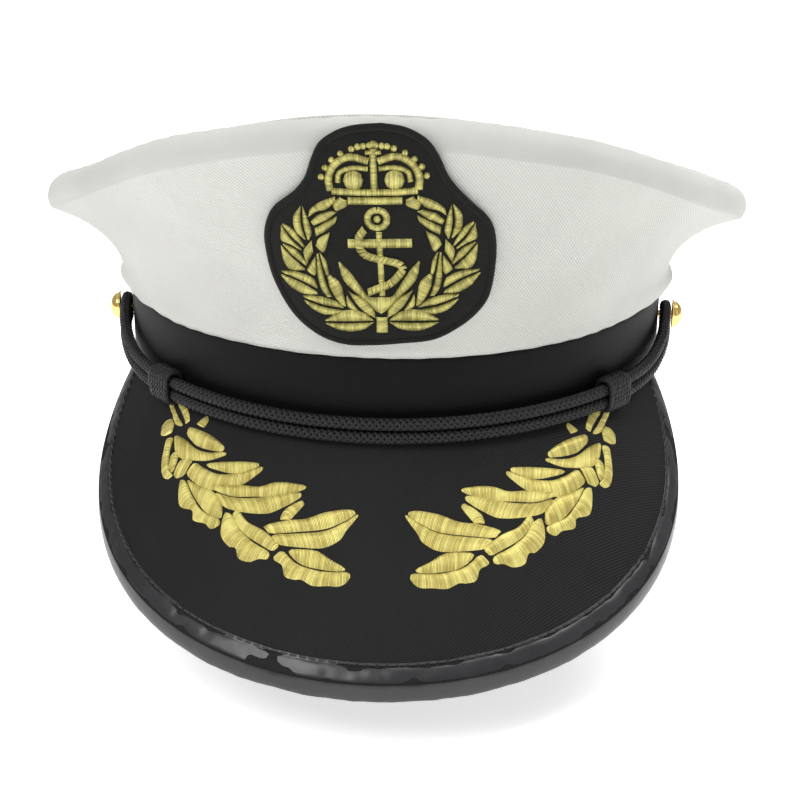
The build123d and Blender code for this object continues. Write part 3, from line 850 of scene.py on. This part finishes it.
def peakBinding():
    high = peak["coverHigh"] + peak["bindingWall"] * 0.75
    low = peak["liningLow"] - peak["bindingWall"] * 0.75
    middle, half = (high + low) / 2, (high - low) / 2
    # section round the edge: distance in from the edge, and height off the middle surface
    section = [(6.5, peak["coverHigh"] + 0.02), (6.42, peak["coverHigh"] + 0.35), (6.2, high - 0.06),
               (5.9, high),
               (5.2, high - 0.12), (4.4, high + 0.02), (3.2, high + 0.06), (2.0, high + 0.02)]
    section += [(1.3 - 1.3 * sin(t), middle + half * cos(t))
                for t in (0.25, 0.6, 0.95, pi / 2, 2.2, 2.55, 2.9)]
    section += [(2.0, low), (3.6, low), (5.2, low + 0.1), (6.2, low), (6.5, peak["liningLow"] - 0.02)]

    def place(u, v):
        w = max(-0.9999, min(0.9999, 2 * u - 1))
        inset, out = profileSpot(section, v)
        edge = peakEdge(w, inset)
        away = out - middle
        bend = noise.noise(Vector((edge.x / 8, edge.y / 8, inset / 5))) + 0.5 * noise.noise(edge / 3.2)
        strength = bindingLook["crinkle"] * (1.0 if 0.3 < inset < 5.8 else 0.35)
        out += strength * bend * (1 if away > 0 else -1)
        inner = atAngle(radians(peak["rootAngle"]) * w, 0.3, 0)
        if hypot(edge.x / band["halfWidth"], edge.y / band["halfLength"]) < 1.004:
            edge = inner
        return peakOn(edge.x, edge.y, out)
    bm = bentGrid(520, (len(section) - 1) * 2, place, (360.0, 18.0))
    faceAway(bm, (0, -75, -25))
    makePiece("peakBinding", bm, finish["edge"], "cap", ("peak_binding",), 0.5)
    rows = []
    total = 2 * bindingLook["stitches"]
    for i in range(total + 1):
        w = -0.955 + 1.91 * i / total
        edge = peakEdge(w, bindingLook["stitchInset"])
        away = Vector((edge.x, edge.y, 0)).normalized()
        slope = radians(peak["slope"])
        lift = Vector((away.x * sin(slope), away.y * sin(slope), cos(slope)))
        rows.append((peakOn(edge.x, edge.y, high - 0.02), lift))
    stitchRow("bindingStitch", rows, 0.26, finish["stitch"], 0.72)


peakBinding()
print("peak made")

satin = dict(rise=1.05, stitchPitch=0.42, ragged=0.10, across=9, spread=0.6)


def satinLobe(bm, edgeA, edgeB, onto, rise, pitch, spread=0.0):
    # one padded lobe of satin stitch between two edges; the threads run from one edge to the other
    length = sum((Vector(b) - Vector(a)).length for a, b in zip(edgeA, edgeA[1:]))
    other = sum((Vector(b) - Vector(a)).length for a, b in zip(edgeB, edgeB[1:]))
    length = max(length, other)
    rows = max(6, int(length / pitch * 2.6))
    lineA = smoothLine([(*p, 0) for p in edgeA], rows)
    lineB = smoothLine([(*p, 0) for p in edgeB], rows)
    piece = bmesh.new()
    across = satin["across"]
    bmesh.ops.create_grid(piece, x_segments=rows, y_segments=across, size=1.0)
    pattern = piece.loops.layers.uv.new("pattern")
    low = min(v.co.x for v in piece.verts)
    wide = max(v.co.x for v in piece.verts) - low
    phase = random.random() * 40
    for face in piece.faces:
        for loop in face.loops:
            u, v = (loop.vert.co.x - low) / wide, (loop.vert.co.y - low) / wide
            loop[pattern].uv = (phase + u * length, v * 4.0)
    for vert in piece.verts:
        u, v = (vert.co.x - low) / wide, (vert.co.y - low) / wide
        place = u * rows
        index = min(int(place), rows - 1)
        a = lineA[index].lerp(lineA[index + 1], place - index)
        b = lineB[index].lerp(lineB[index + 1], place - index)
        gap = (b - a).length
        thread = abs(sin(pi * (phase + u * length) / pitch))
        jag = satin["ragged"] * (thread - 0.5) + 0.06 * noise.noise(Vector((u * length * 1.7, v * 9, phase)))
        v2 = v + (jag / max(gap, 0.8)) * (1 if v > 0.5 else -1) * (1 if abs(v - 0.5) > 0.45 else 0)
        spot = a.lerp(b, 0.5 + (v2 - 0.5) * (1 + 2 * spread / max(gap, 0.8)))
        dome = max(0.0, 1 - abs(2 * v - 1) ** 2.4) * min(1.0, 0.35 + gap / 3.2)
        dome *= min(1.0, 0.5 + 8 * u * (1 - u))
        height = rise * dome + (0.10 * thread - 0.02) * (0.3 + 0.7 * dome)
        vert.co = onto(spot.x, spot.y, height) * mm
    mesh = bpy.data.meshes.new("lobe")
    piece.to_mesh(mesh)
    piece.free()
    bm.from_mesh(mesh)
    bpy.data.meshes.remove(mesh)


# each lobe of the left spray between two edges, in plan
sprayLobes = {
    "topOuter": ([(-62.3, -82.5), (-65.2, -76.3), (-66.3, -71.5)],
        [(-59.3, -84.8), (-61.9, -79.0), (-64.9, -72.6)]),
    "topInner": ([(-58.8, -84.8), (-61.6, -79.2), (-64.3, -73.0)],
        [(-57.1, -84.8), (-58.8, -79.4), (-63.4, -73.0)]),
    "berry": ([(-66.8, -79.5), (-66.8, -82.2), (-65.0, -83.6)],
        [(-63.7, -79.3), (-62.7, -81.6), (-63.4, -84.0)]),
    "stalk": ([(-62.5, -85.6), (-63.3, -89.1), (-62.8, -94.0), (-61.1, -96.6)],
        [(-64.7, -84.6), (-65.0, -91.2), (-64.0, -94.9), (-62.2, -96.8)]),
    "bract": ([(-62.4, -90.4), (-62.5, -93.0), (-61.4, -95.6)],
        [(-60.0, -90.8), (-60.5, -93.0), (-61.2, -95.4)]),
    "bud": ([(-56.3, -85.5), (-54.1, -85.3), (-51.8, -85.7)],
        [(-52.5, -89.0), (-51.9, -88.4), (-51.5, -87.0)]),
    "leafTwoUpper": ([(-58.0, -85.3), (-51.7, -90.4), (-45.5, -97.1)],
        [(-58.3, -87.0), (-54.0, -92.4), (-45.9, -97.6)]),
    "leafTwoLower": ([(-62.5, -84.6), (-58.9, -88.0), (-54.4, -93.3), (-50.6, -96.1), (-44.8, -98.2)],
        [(-61.4, -90.2), (-59.2, -93.0), (-56.4, -94.8), (-50.4, -97.6), (-44.5, -98.7)]),
    "knop": ([(-59.1, -93.7), (-57.5, -94.0), (-55.3, -95.6)],
        [(-60.9, -95.8), (-59.8, -97.6), (-57.5, -98.1)]),
    "leafThreeUpper": ([(-51.1, -98.5), (-43.1, -101.3), (-34.4, -104.4)],
        [(-50.0, -99.7), (-42.0, -103.9), (-34.4, -104.8)]),
    "leafThreeLower": ([(-54.8, -96.2), (-51.2, -99.6), (-46.4, -102.9), (-39.4, -104.9), (-33.3, -105.1)],
        [(-57.0, -97.9), (-51.3, -104.0), (-45.0, -106.6), (-40.0, -107.3), (-33.0, -105.6)]),
    "leafFourUpper": ([(-48.6, -104.9), (-39.9, -107.7), (-34.3, -109.6), (-29.8, -109.8), (-20.4, -112.4)],
        [(-47.2, -106.3), (-42.2, -109.0), (-36.5, -110.7), (-29.5, -112.4), (-21.0, -112.7)]),
    "leafFourLower": ([(-48.1, -105.9), (-42.2, -109.4), (-33.7, -111.9), (-21.7, -113.4)],
        [(-44.4, -111.1), (-38.4, -113.8), (-31.7, -115.7), (-27.7, -115.3), (-21.7, -113.8)]),
    "outerOneInner": ([(-56.5, -99.7), (-52.6, -103.2), (-49.5, -104.9), (-45.6, -109.0), (-44.6, -112.2)],
        [(-55.9, -101.1), (-53.2, -105.4), (-49.6, -110.2), (-44.7, -113.2)]),
    "outerOneOuter": ([(-57.2, -99.4), (-54.7, -104.1), (-51.0, -109.5), (-44.9, -113.8)],
        [(-58.6, -98.7), (-57.7, -105.2), (-53.6, -108.2), (-53.0, -110.5), (-49.3, -112.7),
         (-47.6, -114.3), (-44.9, -114.6)]),
    "small": ([(-28.0, -117.9), (-26.8, -116.2), (-21.8, -114.9)],
        [(-25.4, -118.5), (-23.5, -117.1), (-21.4, -115.5)]),
    "outerTwoInner": ([(-40.6, -112.5), (-37.4, -116.3), (-32.6, -119.3), (-27.7, -123.3)],
        [(-41.8, -113.4), (-37.5, -118.4), (-29.3, -124.1)]),
    "outerTwoOuter": ([(-42.4, -112.9), (-37.9, -118.8), (-29.9, -124.7)],
        [(-44.0, -112.1), (-44.5, -116.7), (-41.9, -120.0), (-39.9, -120.8), (-38.9, -123.3),
         (-35.7, -124.8), (-32.9, -124.7), (-30.4, -125.6)]),
    "largeUpper": ([(-32.7, -118.2), (-25.8, -118.5), (-20.9, -119.0), (-15.3, -118.3), (-6.9, -118.4)],
        [(-30.9, -120.1), (-23.1, -121.1), (-15.1, -121.5), (-10.0, -120.2), (-6.4, -118.7)]),
    "largeLower": ([(-30.4, -120.6), (-23.1, -121.6), (-15.1, -122.0), (-9.6, -120.7), (-5.7, -118.6)],
        [(-28.6, -122.8), (-21.7, -124.5), (-15.6, -125.3), (-11.4, -124.1), (-9.5, -122.1), (-5.5, -118.9)]),
    "lastUpper": ([(-25.3, -124.6), (-17.6, -125.8), (-13.5, -128.0), (-8.6, -130.2)],
        [(-24.4, -125.9), (-20.2, -128.3), (-14.5, -129.6), (-9.0, -130.3)]),
    "lastLower": ([(-26.9, -124.2), (-24.3, -126.7), (-20.1, -128.9), (-14.5, -130.3), (-7.6, -130.8)],
        [(-29.6, -125.6), (-26.5, -127.2), (-25.6, -129.6), (-22.9, -130.6), (-21.0, -130.8),
         (-17.9, -132.3), (-14.0, -132.6), (-10.4, -132.8), (-7.4, -131.3)]),
}


def leafSpray(name, side, node):
    bm = bmesh.new()

    def onto(x, y, height):
        # the topmost lobes are flat, because the slide knot lies over them
        nearBand = (hypot(x / band["halfWidth"], y / band["halfLength"]) - 1.03) / 0.05
        return peakOn(-side * x, y, peak["coverHigh"] + 0.14 + height * max(0.55, min(1.0, nearBand)))
    for edgeA, edgeB in sprayLobes.values():
        satinLobe(bm, edgeA, edgeB, onto, satin["rise"], satin["stitchPitch"], satin["spread"])
    faceAway(bm, (0, -60, -300))
    makePiece(name, bm, finish["spray"], "cap", (node,))


leafSpray("leafSprayLeft", -1, "leaf_spray_left")
leafSpray("leafSprayRight", 1, "leaf_spray_right")
print("sprays made")

badge = dict(footX=-0.7, footZ=32.6, tilt=-1.82, out=0.45, felt=1.5, rise=0.85, pitch=0.40, spread=0.0)
badgeOutline = [
    (2.0, 58.5), (-5.0, 58.0), (-9.5, 56.6), (-13.7, 53.7), (-16.0, 49.5), (-18.0, 44.4), (-21.1, 40.6),
    (-27.0, 35.8), (-29.6, 30.3), (-30.1, 24.8), (-28.6, 15.0), (-23.9, 4.8), (-17.4, -1.3),
    (-10.5, -3.9), (-3.0, -4.1), (4.3, -3.7), (14.2, -2.8), (21.5, 0.9), (26.2, 5.0), (29.0, 9.8),
    (30.6, 20.4), (30.2, 28.2), (28.4, 32.4), (23.7, 37.4), (18.7, 43.7), (16.2, 49.5), (13.4, 53.9),
    (8.2, 57.2),
]


def badgeOn(across, up, out):
    turn = radians(badge["tilt"])
    x = badge["footX"] + across * cos(turn) + up * sin(turn)
    z = badge["footZ"] - across * sin(turn) + up * cos(turn)
    return badgePoint(x, z, badge["out"] + out)


outlineLoop = smoothLine([(*p, 0) for p in badgeOutline + badgeOutline[:1]], 240)[:-1]
badgeMiddle = Vector((0.0, 26.0, 0))


def insetLoop(distance):
    # the outline drawn in square to itself
    result = []
    count = len(outlineLoop)
    for i, spot in enumerate(outlineLoop):
        along = outlineLoop[(i + 2) % count] - outlineLoop[i - 2]
        inward = Vector((-along.y, along.x, 0)).normalized()
        if inward.dot(badgeMiddle - spot) < 0:
            inward = -inward
        result.append(spot + inward * distance)
    return result


def badgeRound(name, loops, material, nodes, merge=0.02):
    # rings of the badge from (points, height) pairs
    count = len(outlineLoop)

    def place(u, v):
        index = min(int(round(v * (len(loops) - 1))), len(loops) - 1)
        points, height = loops[index]
        spot = points[int(round(u * count)) % count]
        lift = height + 0.05 * noise.noise(Vector((spot.x, spot.y, height * 3)) * 1.2)
        return badgeOn(spot.x, spot.y, lift)
    bm = bentGrid(count, len(loops) - 1, place, (190.0, 30.0), merge)
    faceAway(bm, (0, 0, 50))
    return makePiece(name, bm, material, "cap", nodes)


def badgeGround():
    top = badge["felt"]
    loops = [(insetLoop(0.5), 0.0), (insetLoop(0.4), top * 0.5), (insetLoop(1.5), top)]
    for share in (0.85, 0.7, 0.55, 0.4, 0.25, 0.12, 0.001):
        loops.append(([badgeMiddle.lerp(p, share) for p in insetLoop(1.5)], top))
    badgeRound("badgePatch", loops, finish["felt"], ("badge_patch", "badge_backing"))
    edge = [(insetLoop(0.55), 0.0), (insetLoop(0.1), 0.25)]
    for k in range(9):
        turn = pi * k / 8
        edge.append((insetLoop(1.0 - 1.0 * cos(turn)), top * 0.75 + 0.75 * sin(turn)))
    edge.append((insetLoop(2.0), top * 0.7))
    badgeRound("badgeBorder", edge, finish["felt"], ("badge_border",))


badgeGround()
wreathLobes = {
    "a": ([(-10.5, 39.3), (-14.3, 37.8), (-17.2, 35.5), (-17.7, 33.5)],
        [(-10.4, 38.0), (-12.8, 35.8), (-15.7, 34.9), (-17.7, 33.5)]),
    "bead": ([(-7.5, 38.3), (-7.6, 36.7), (-9.9, 35.4)], [(-9.3, 39.1), (-11.1, 37.2), (-10.8, 35.6)]),
    "b": ([(-11.6, 35.4), (-15.0, 34.2), (-17.2, 32.2)], [(-10.2, 35.0), (-12.6, 33.0), (-16.4, 31.1)]),
    "c": ([(-10.2, 33.9), (-13.9, 31.8), (-16.3, 30.4)], [(-10.8, 31.9), (-13.6, 29.6), (-16.0, 28.2)]),
    "d": ([(-12.4, 29.4), (-15.4, 27.5), (-16.4, 25.5)], [(-12.9, 27.4), (-14.0, 24.2), (-14.6, 23.5)]),
    "eOuter": ([(-19.45, 36.6), (-19.9, 31.7), (-18.9, 27.2)],
        [(-19.6, 36.6), (-21.7, 33.4), (-21.4, 29.4), (-19.3, 27.2)]),
    "eInner": ([(-19.1, 36.6), (-19.2, 31.2), (-18.4, 27.1)],
        [(-19.0, 36.5), (-17.8, 32.6), (-17.2, 29.1), (-18.0, 27.0)]),
    "fUpper": ([(-24.8, 31.0), (-22.4, 27.6), (-19.6, 24.8)],
        [(-24.6, 31.5), (-22.2, 30.0), (-20.3, 27.1), (-19.3, 25.1)]),
    "fLower": ([(-25.1, 31.0), (-22.9, 27.2), (-20.1, 24.3)],
        [(-25.2, 30.6), (-25.4, 26.7), (-22.8, 25.4), (-20.4, 23.9)]),
    "gUpper": ([(-25.2, 25.4), (-22.4, 22.1), (-19.3, 19.5)],
        [(-25.0, 25.8), (-22.0, 24.3), (-20.0, 22.1), (-19.0, 20.1)]),
    "gLower": ([(-25.6, 25.2), (-22.8, 21.7), (-19.7, 18.8)],
        [(-25.7, 24.6), (-25.3, 20.9), (-23.8, 18.3), (-19.8, 18.2)]),
    "h": ([(-17.3, 27.0), (-19.4, 24.4), (-19.8, 23.3)], [(-17.1, 23.6), (-18.4, 21.3), (-19.0, 20.1)]),
    "hLow": ([(-16.7, 22.3), (-18.5, 19.6), (-19.2, 18.2)], [(-16.6, 20.4), (-16.7, 17.8), (-17.2, 16.7)]),
    "iUpper": ([(-25.7, 17.1), (-21.4, 15.4), (-16.7, 12.9)],
        [(-26.2, 17.7), (-22.1, 17.7), (-17.7, 16.0), (-16.7, 13.9)]),
    "iLower": ([(-26.0, 16.7), (-21.6, 14.8), (-17.0, 12.1)],
        [(-26.5, 16.5), (-23.8, 13.0), (-20.4, 11.2), (-16.6, 11.2)]),
    "jUpper": ([(-20.2, 9.9), (-15.4, 8.2), (-9.9, 7.3)],
        [(-20.9, 10.7), (-16.5, 10.7), (-12.3, 9.5), (-10.0, 7.7)]),
    "jLower": ([(-20.4, 9.4), (-15.5, 7.5), (-10.1, 6.6)],
        [(-20.6, 9.1), (-18.5, 6.8), (-15.6, 5.3), (-12.5, 5.3), (-10.4, 6.4)]),
    "kLeft": ([(-15.8, 23.3), (-14.9, 17.7), (-14.3, 14.4), (-13.1, 10.7)],
        [(-16.3, 23.1), (-16.4, 17.2), (-15.6, 12.7), (-14.2, 10.6)]),
    "kMiddle": ([(-15.5, 23.4), (-14.4, 17.9), (-13.9, 16.8)], [(-15.2, 23.4), (-13.9, 21.0), (-13.3, 17.4)]),
    "kRight": ([(-13.8, 16.5), (-13.2, 13.0), (-10.9, 8.6), (-9.6, 7.8)],
        [(-13.1, 17.2), (-10.7, 15.0), (-9.6, 10.3), (-9.3, 8.0)]),
    "l": ([(-7.9, 12.1), (-4.6, 10.2), (-2.0, 6.8), (-1.6, 4.4)],
        [(-8.7, 12.8), (-6.4, 8.5), (-3.9, 5.8), (-1.9, 4.6)]),
    "lSmall": ([(-8.9, 11.3), (-7.8, 9.2), (-6.2, 6.9)], [(-9.1, 10.3), (-8.8, 7.8), (-6.5, 6.4)]),
    "mUpper": ([(-14.9, 3.2), (-8.4, 3.4), (-2.1, 3.6)],
        [(-15.3, 3.5), (-11.2, 6.2), (-7.3, 6.8), (-4.0, 5.6), (-2.2, 3.9)]),
    "mLower": ([(-14.9, 2.7), (-8.4, 2.7), (-2.1, 3.2)],
        [(-15.3, 2.5), (-12.0, 0.8), (-8.5, 0.3), (-4.6, 1.1), (-2.5, 2.8)]),
}
ground = badge["felt"] + 0.02


def badgeOnto(side, lift=0.0):
    def onto(across, up, height):
        return badgeOn(side * across, up, ground + lift + height)
    return onto


def satinStrip(bm, line, width, onto, rise):
    # a strip of satin stitch along a line
    spots = smoothLine([(*p, 0) for p in line], 4 * len(line))
    left, right = [], []
    for i, spot in enumerate(spots):
        along = (spots[min(i + 1, len(spots) - 1)] - spots[max(i - 1, 0)]).normalized()
        away = Vector((-along.y, along.x, 0)) * (width / 2)
        left.append((spot + away)[:2])
        right.append((spot - away)[:2])
    satinLobe(bm, left, right, onto, rise, badge["pitch"])


def satinDisc(bm, centre, radius, onto, rise):
    top = [(centre[0] + radius * cos(t), centre[1] + radius * sin(t)) for t in (pi, 2.36, pi / 2, 0.79, 0)]
    low = [(centre[0] + radius * cos(t), centre[1] - radius * sin(t)) for t in (pi, 2.36, pi / 2, 0.79, 0)]
    satinLobe(bm, top, low, onto, rise, badge["pitch"])


def badgeEmbroidery():
    wreath = bmesh.new()
    for side in (1, -1):
        for edgeA, edgeB in wreathLobes.values():
            satinLobe(wreath, edgeA, edgeB, badgeOnto(side), badge["rise"], badge["pitch"], badge["spread"])
    bmesh.ops.recalc_face_normals(wreath, faces=wreath.faces[:])
    faceAway(wreath, (0, 0, 50))
    makePiece("badgeWreath", wreath, finish["badge"], "cap", ("badge_wreath",))

    anchor = bmesh.new()
    onto = badgeOnto(1)
    satinStrip(anchor, [(0.3, 29.4), (0.4, 20.0), (0.5, 11.0)], 1.5, onto, 0.6)
    satinStrip(anchor, [(-7.9, 26.2), (0.4, 26.2), (8.7, 26.1)], 2.5, onto, 0.7)
    ring = [(2.5 * cos(t), 33.0 + 2.5 * sin(t)) for t in [pi * (0.5 + k / 6) for k in range(13)]]
    satinStrip(anchor, ring, 1.7, onto, 0.8)
    satinDisc(anchor, (0.0, 33.0), 0.95, onto, 0.6)
    for side in (1, -1):
        satinLobe(anchor, [(-10.4, 21.1), (-7.6, 17.8), (-5.3, 14.1), (-2.9, 10.8), (0.1, 10.6)],
                  [(-10.7, 20.6), (-9.6, 15.8), (-6.2, 11.7), (-3.4, 8.9), (-1.6, 6.8), (0.1, 5.6)],
                  badgeOnto(side), badge["rise"], badge["pitch"])
    satinLobe(anchor, [(-1.3, 4.7), (-1.4, 0.0)], [(1.6, 4.7), (1.5, 0.0)], onto, 0.7, badge["pitch"])
    makePiece("badgeAnchor", anchor, finish["badge"], "cap", ("badge_anchor",))

    rope = bmesh.new()
    ropeLine = smoothLine([(*p, 0) for p in [(-3.3, 30.3), (-4.9, 28.0), (-4.9, 25.2), (-3.2, 22.9),
                                             (0.9, 21.6),
                                             (4.6, 20.6), (6.2, 19.2), (5.1, 17.2), (2.7, 14.7), (-0.2, 13.5),
                                             (-3.2, 12.2)]], 26)
    for i in range(26):
        a, b = ropeLine[i], ropeLine[i + 1]
        along = (b - a).normalized()
        away = Vector((-along.y, along.x, 0)) * 1.05
        skew = along * 0.35
        satinLobe(rope, [(a + away + skew)[:2], (b + away + skew)[:2]],
                  [(a - away - skew)[:2], (b - away - skew)[:2]],
                  badgeOnto(1, 0.45), 0.75, badge["pitch"])
    makePiece("badgeRope", rope, finish["badge"], "cap", ("badge_rope",))

    coronet = bmesh.new()
    satinStrip(coronet, [(-7.2, 38.1), (0, 38.0), (6.6, 38.0)], 2.0, onto, 0.8)
    satinStrip(coronet, [(-11.2, 40.7), (-5.5, 40.4), (0, 40.3), (5.5, 40.3), (10.6, 40.6)], 1.8, onto, 0.9)
    shift = -0.4
    for side in (1, -1):
        satinStrip(coronet, [(side * 11.2 + shift, 40.9), (side * 11.4 + shift, 44.6),
                             (side * 9.3 + shift, 48.2),
                             (side * 5.6 + shift, 49.8), (side * 1.2 + shift, 48.6)], 1.9, onto, 0.9)
        satinStrip(coronet, [(side * 9.2 + shift, 43.0), (side * 8.6 + shift, 45.6),
                             (side * 5.4 + shift, 46.9),
                             (side * 1.4 + shift, 46.6)], 1.3, onto, 0.8)
        satinDisc(coronet, (side * 5.2 + shift, 43.6), 2.6, onto, 1.0)
        for k in range(8):
            turn = radians(172 - 14 * k)
            centre = (side * (1.2 - 13.6 * cos(turn - 0.12) * 0.92) + shift, 42.8 + 10.0 * sin(turn) ** 0.9)
            satinDisc(coronet, centre, 0.85, badgeOnto(1), 0.8)
    satinStrip(coronet, [(-0.4, 40.6), (-0.4, 47.0), (-0.3, 51.8)], 1.7, onto, 1.0)
    satinStrip(coronet, [(-2.3, 50.9), (-0.3, 50.9), (1.7, 50.9)], 1.1, onto, 1.0)
    satinDisc(coronet, (-0.2, 53.0), 1.05, onto, 0.9)
    makePiece("badgeCoronet", coronet, finish["badge"], "cap", ("badge_coronet",))


badgeEmbroidery()
print("badge made")

button = dict(angle=82.0, height=12.0, radius=4.9, rise=3.6, standoff=4.45)


def buttonFrame(side):
    alpha = radians(button["angle"])
    spot = atAngle(side * alpha, 0, button["height"])
    lean = atan2(cos(alpha) / band["halfLength"], sin(alpha) / band["halfWidth"])
    out = Vector((side * cos(lean), -sin(lean), 0))
    across = Vector((side * sin(lean), cos(lean), 0))
    turn = Matrix((across, out.cross(across), out)).transposed().to_4x4()
    return Matrix.Translation(spot * mm) @ turn


def buttonPiece(name, side, profile, nodes, body):
    bm = bmesh.new()
    verts = [bm.verts.new((r * mm, 0, z * mm)) for r, z in profile]
    edges = [bm.edges.new(pair) for pair in zip(verts, verts[1:])]
    bmesh.ops.spin(bm, geom=verts + edges, cent=(0, 0, 0), axis=(0, 0, 1), angle=2 * pi, steps=64,
                   use_merge=True)
    bmesh.ops.remove_doubles(bm, verts=bm.verts[:], dist=1e-6)
    bmesh.ops.recalc_face_normals(bm, faces=bm.faces[:])
    bmesh.ops.transform(bm, matrix=buttonFrame(side), verts=bm.verts[:])
    return makePiece(name, bm, finish["gilt"], body, nodes)


def domeProfile():
    base, radius, rise = button["standoff"], button["radius"], button["rise"]
    points = [(0.0, base + rise)]
    points += [((radius - 0.55) * sin(t), base + 0.5 + (rise - 0.5) * cos(t)) for t in
               (0.12, 0.25, 0.4, 0.55, 0.7, 0.85, 1.0, 1.15, 1.3, 1.45, pi / 2)]
    points += [(radius - 0.35, base + 0.62), (radius - 0.1, base + 0.5), (radius, base + 0.25),
               (radius - 0.1, base + 0.02), (radius - 0.4, base - 0.05), (0.0, base - 0.05)]
    return points


for side, name in ((1, "Right"), (-1, "Left")):
    low = name.lower()
    buttonPiece(f"buttonDome{name}", side, domeProfile(), (f"button_dome_{low}",), f"button_{low}")
print("buttons made")

# carried-over parts take their finish
kept = dict(band_stiffener="board", peak_board="board", front_interlining="canvas", crown_hoop="rod",
            crown_hoop_ferrule="steel", peak_lining="underside", button_back_left="gilt",
            button_back_right="gilt", button_washer_left="steel", button_washer_right="steel")
for node, key in kept.items():
    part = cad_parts[node]
    part.data.materials.clear()
    part.data.materials.append(finish[key])

studio = dict(floorZ=-70.0, floorSize=40000.0, floorTone=0.93, floorGlow=0.62, world=0.42)


def addFloor():
    bm = bmesh.new()
    bmesh.ops.create_grid(bm, x_segments=1, y_segments=1, size=studio["floorSize"] * mm)
    for vert in bm.verts:
        vert.co.z = studio["floorZ"] * mm
    mesh = bpy.data.meshes.new("floor")
    bm.to_mesh(mesh)
    bm.free()
    tone = studio["floorTone"]
    made = Recipe("paleFloor", (tone, tone, tone), 0.9, Emission_Color=(1, 1, 1, 1),
                  Emission_Strength=studio["floorGlow"])
    mesh.materials.append(made.material)
    floorObject = bpy.data.objects.new("floor", mesh)
    scene.collection.objects.link(floorObject)


def addLight(name, place, target, size, power):
    data = bpy.data.lights.new(name, "AREA")
    data.shape = "RECTANGLE"
    data.size, data.size_y = size
    data.energy = power
    lamp = bpy.data.objects.new(name, data)
    away = Vector(place) - Vector(target)
    lamp.matrix_world = Matrix.Translation(place) @ away.to_track_quat("Z", "Y").to_matrix().to_4x4()
    scene.collection.objects.link(lamp)


addFloor()
addLight("keyLight", (-0.55, -0.75, 1.05), (0, -0.03, 0.02), (0.7, 0.7), 9.0)
addLight("topLight", (0.35, 0.25, 1.2), (0, 0, 0.03), (1.2, 1.2), 20.0)
addLight("sideLight", (1.1, -0.6, 0.5), (0, 0, 0.03), (0.5, 0.8), 0.5)
world = bpy.data.worlds.new("studio")
world.use_nodes = True
world.node_tree.nodes["Background"].inputs[0].default_value = (1, 1, 1, 1)
world.node_tree.nodes["Background"].inputs[1].default_value = studio["world"]
scene.world = world
scene.view_settings.view_transform = "Standard"
print("studio set")
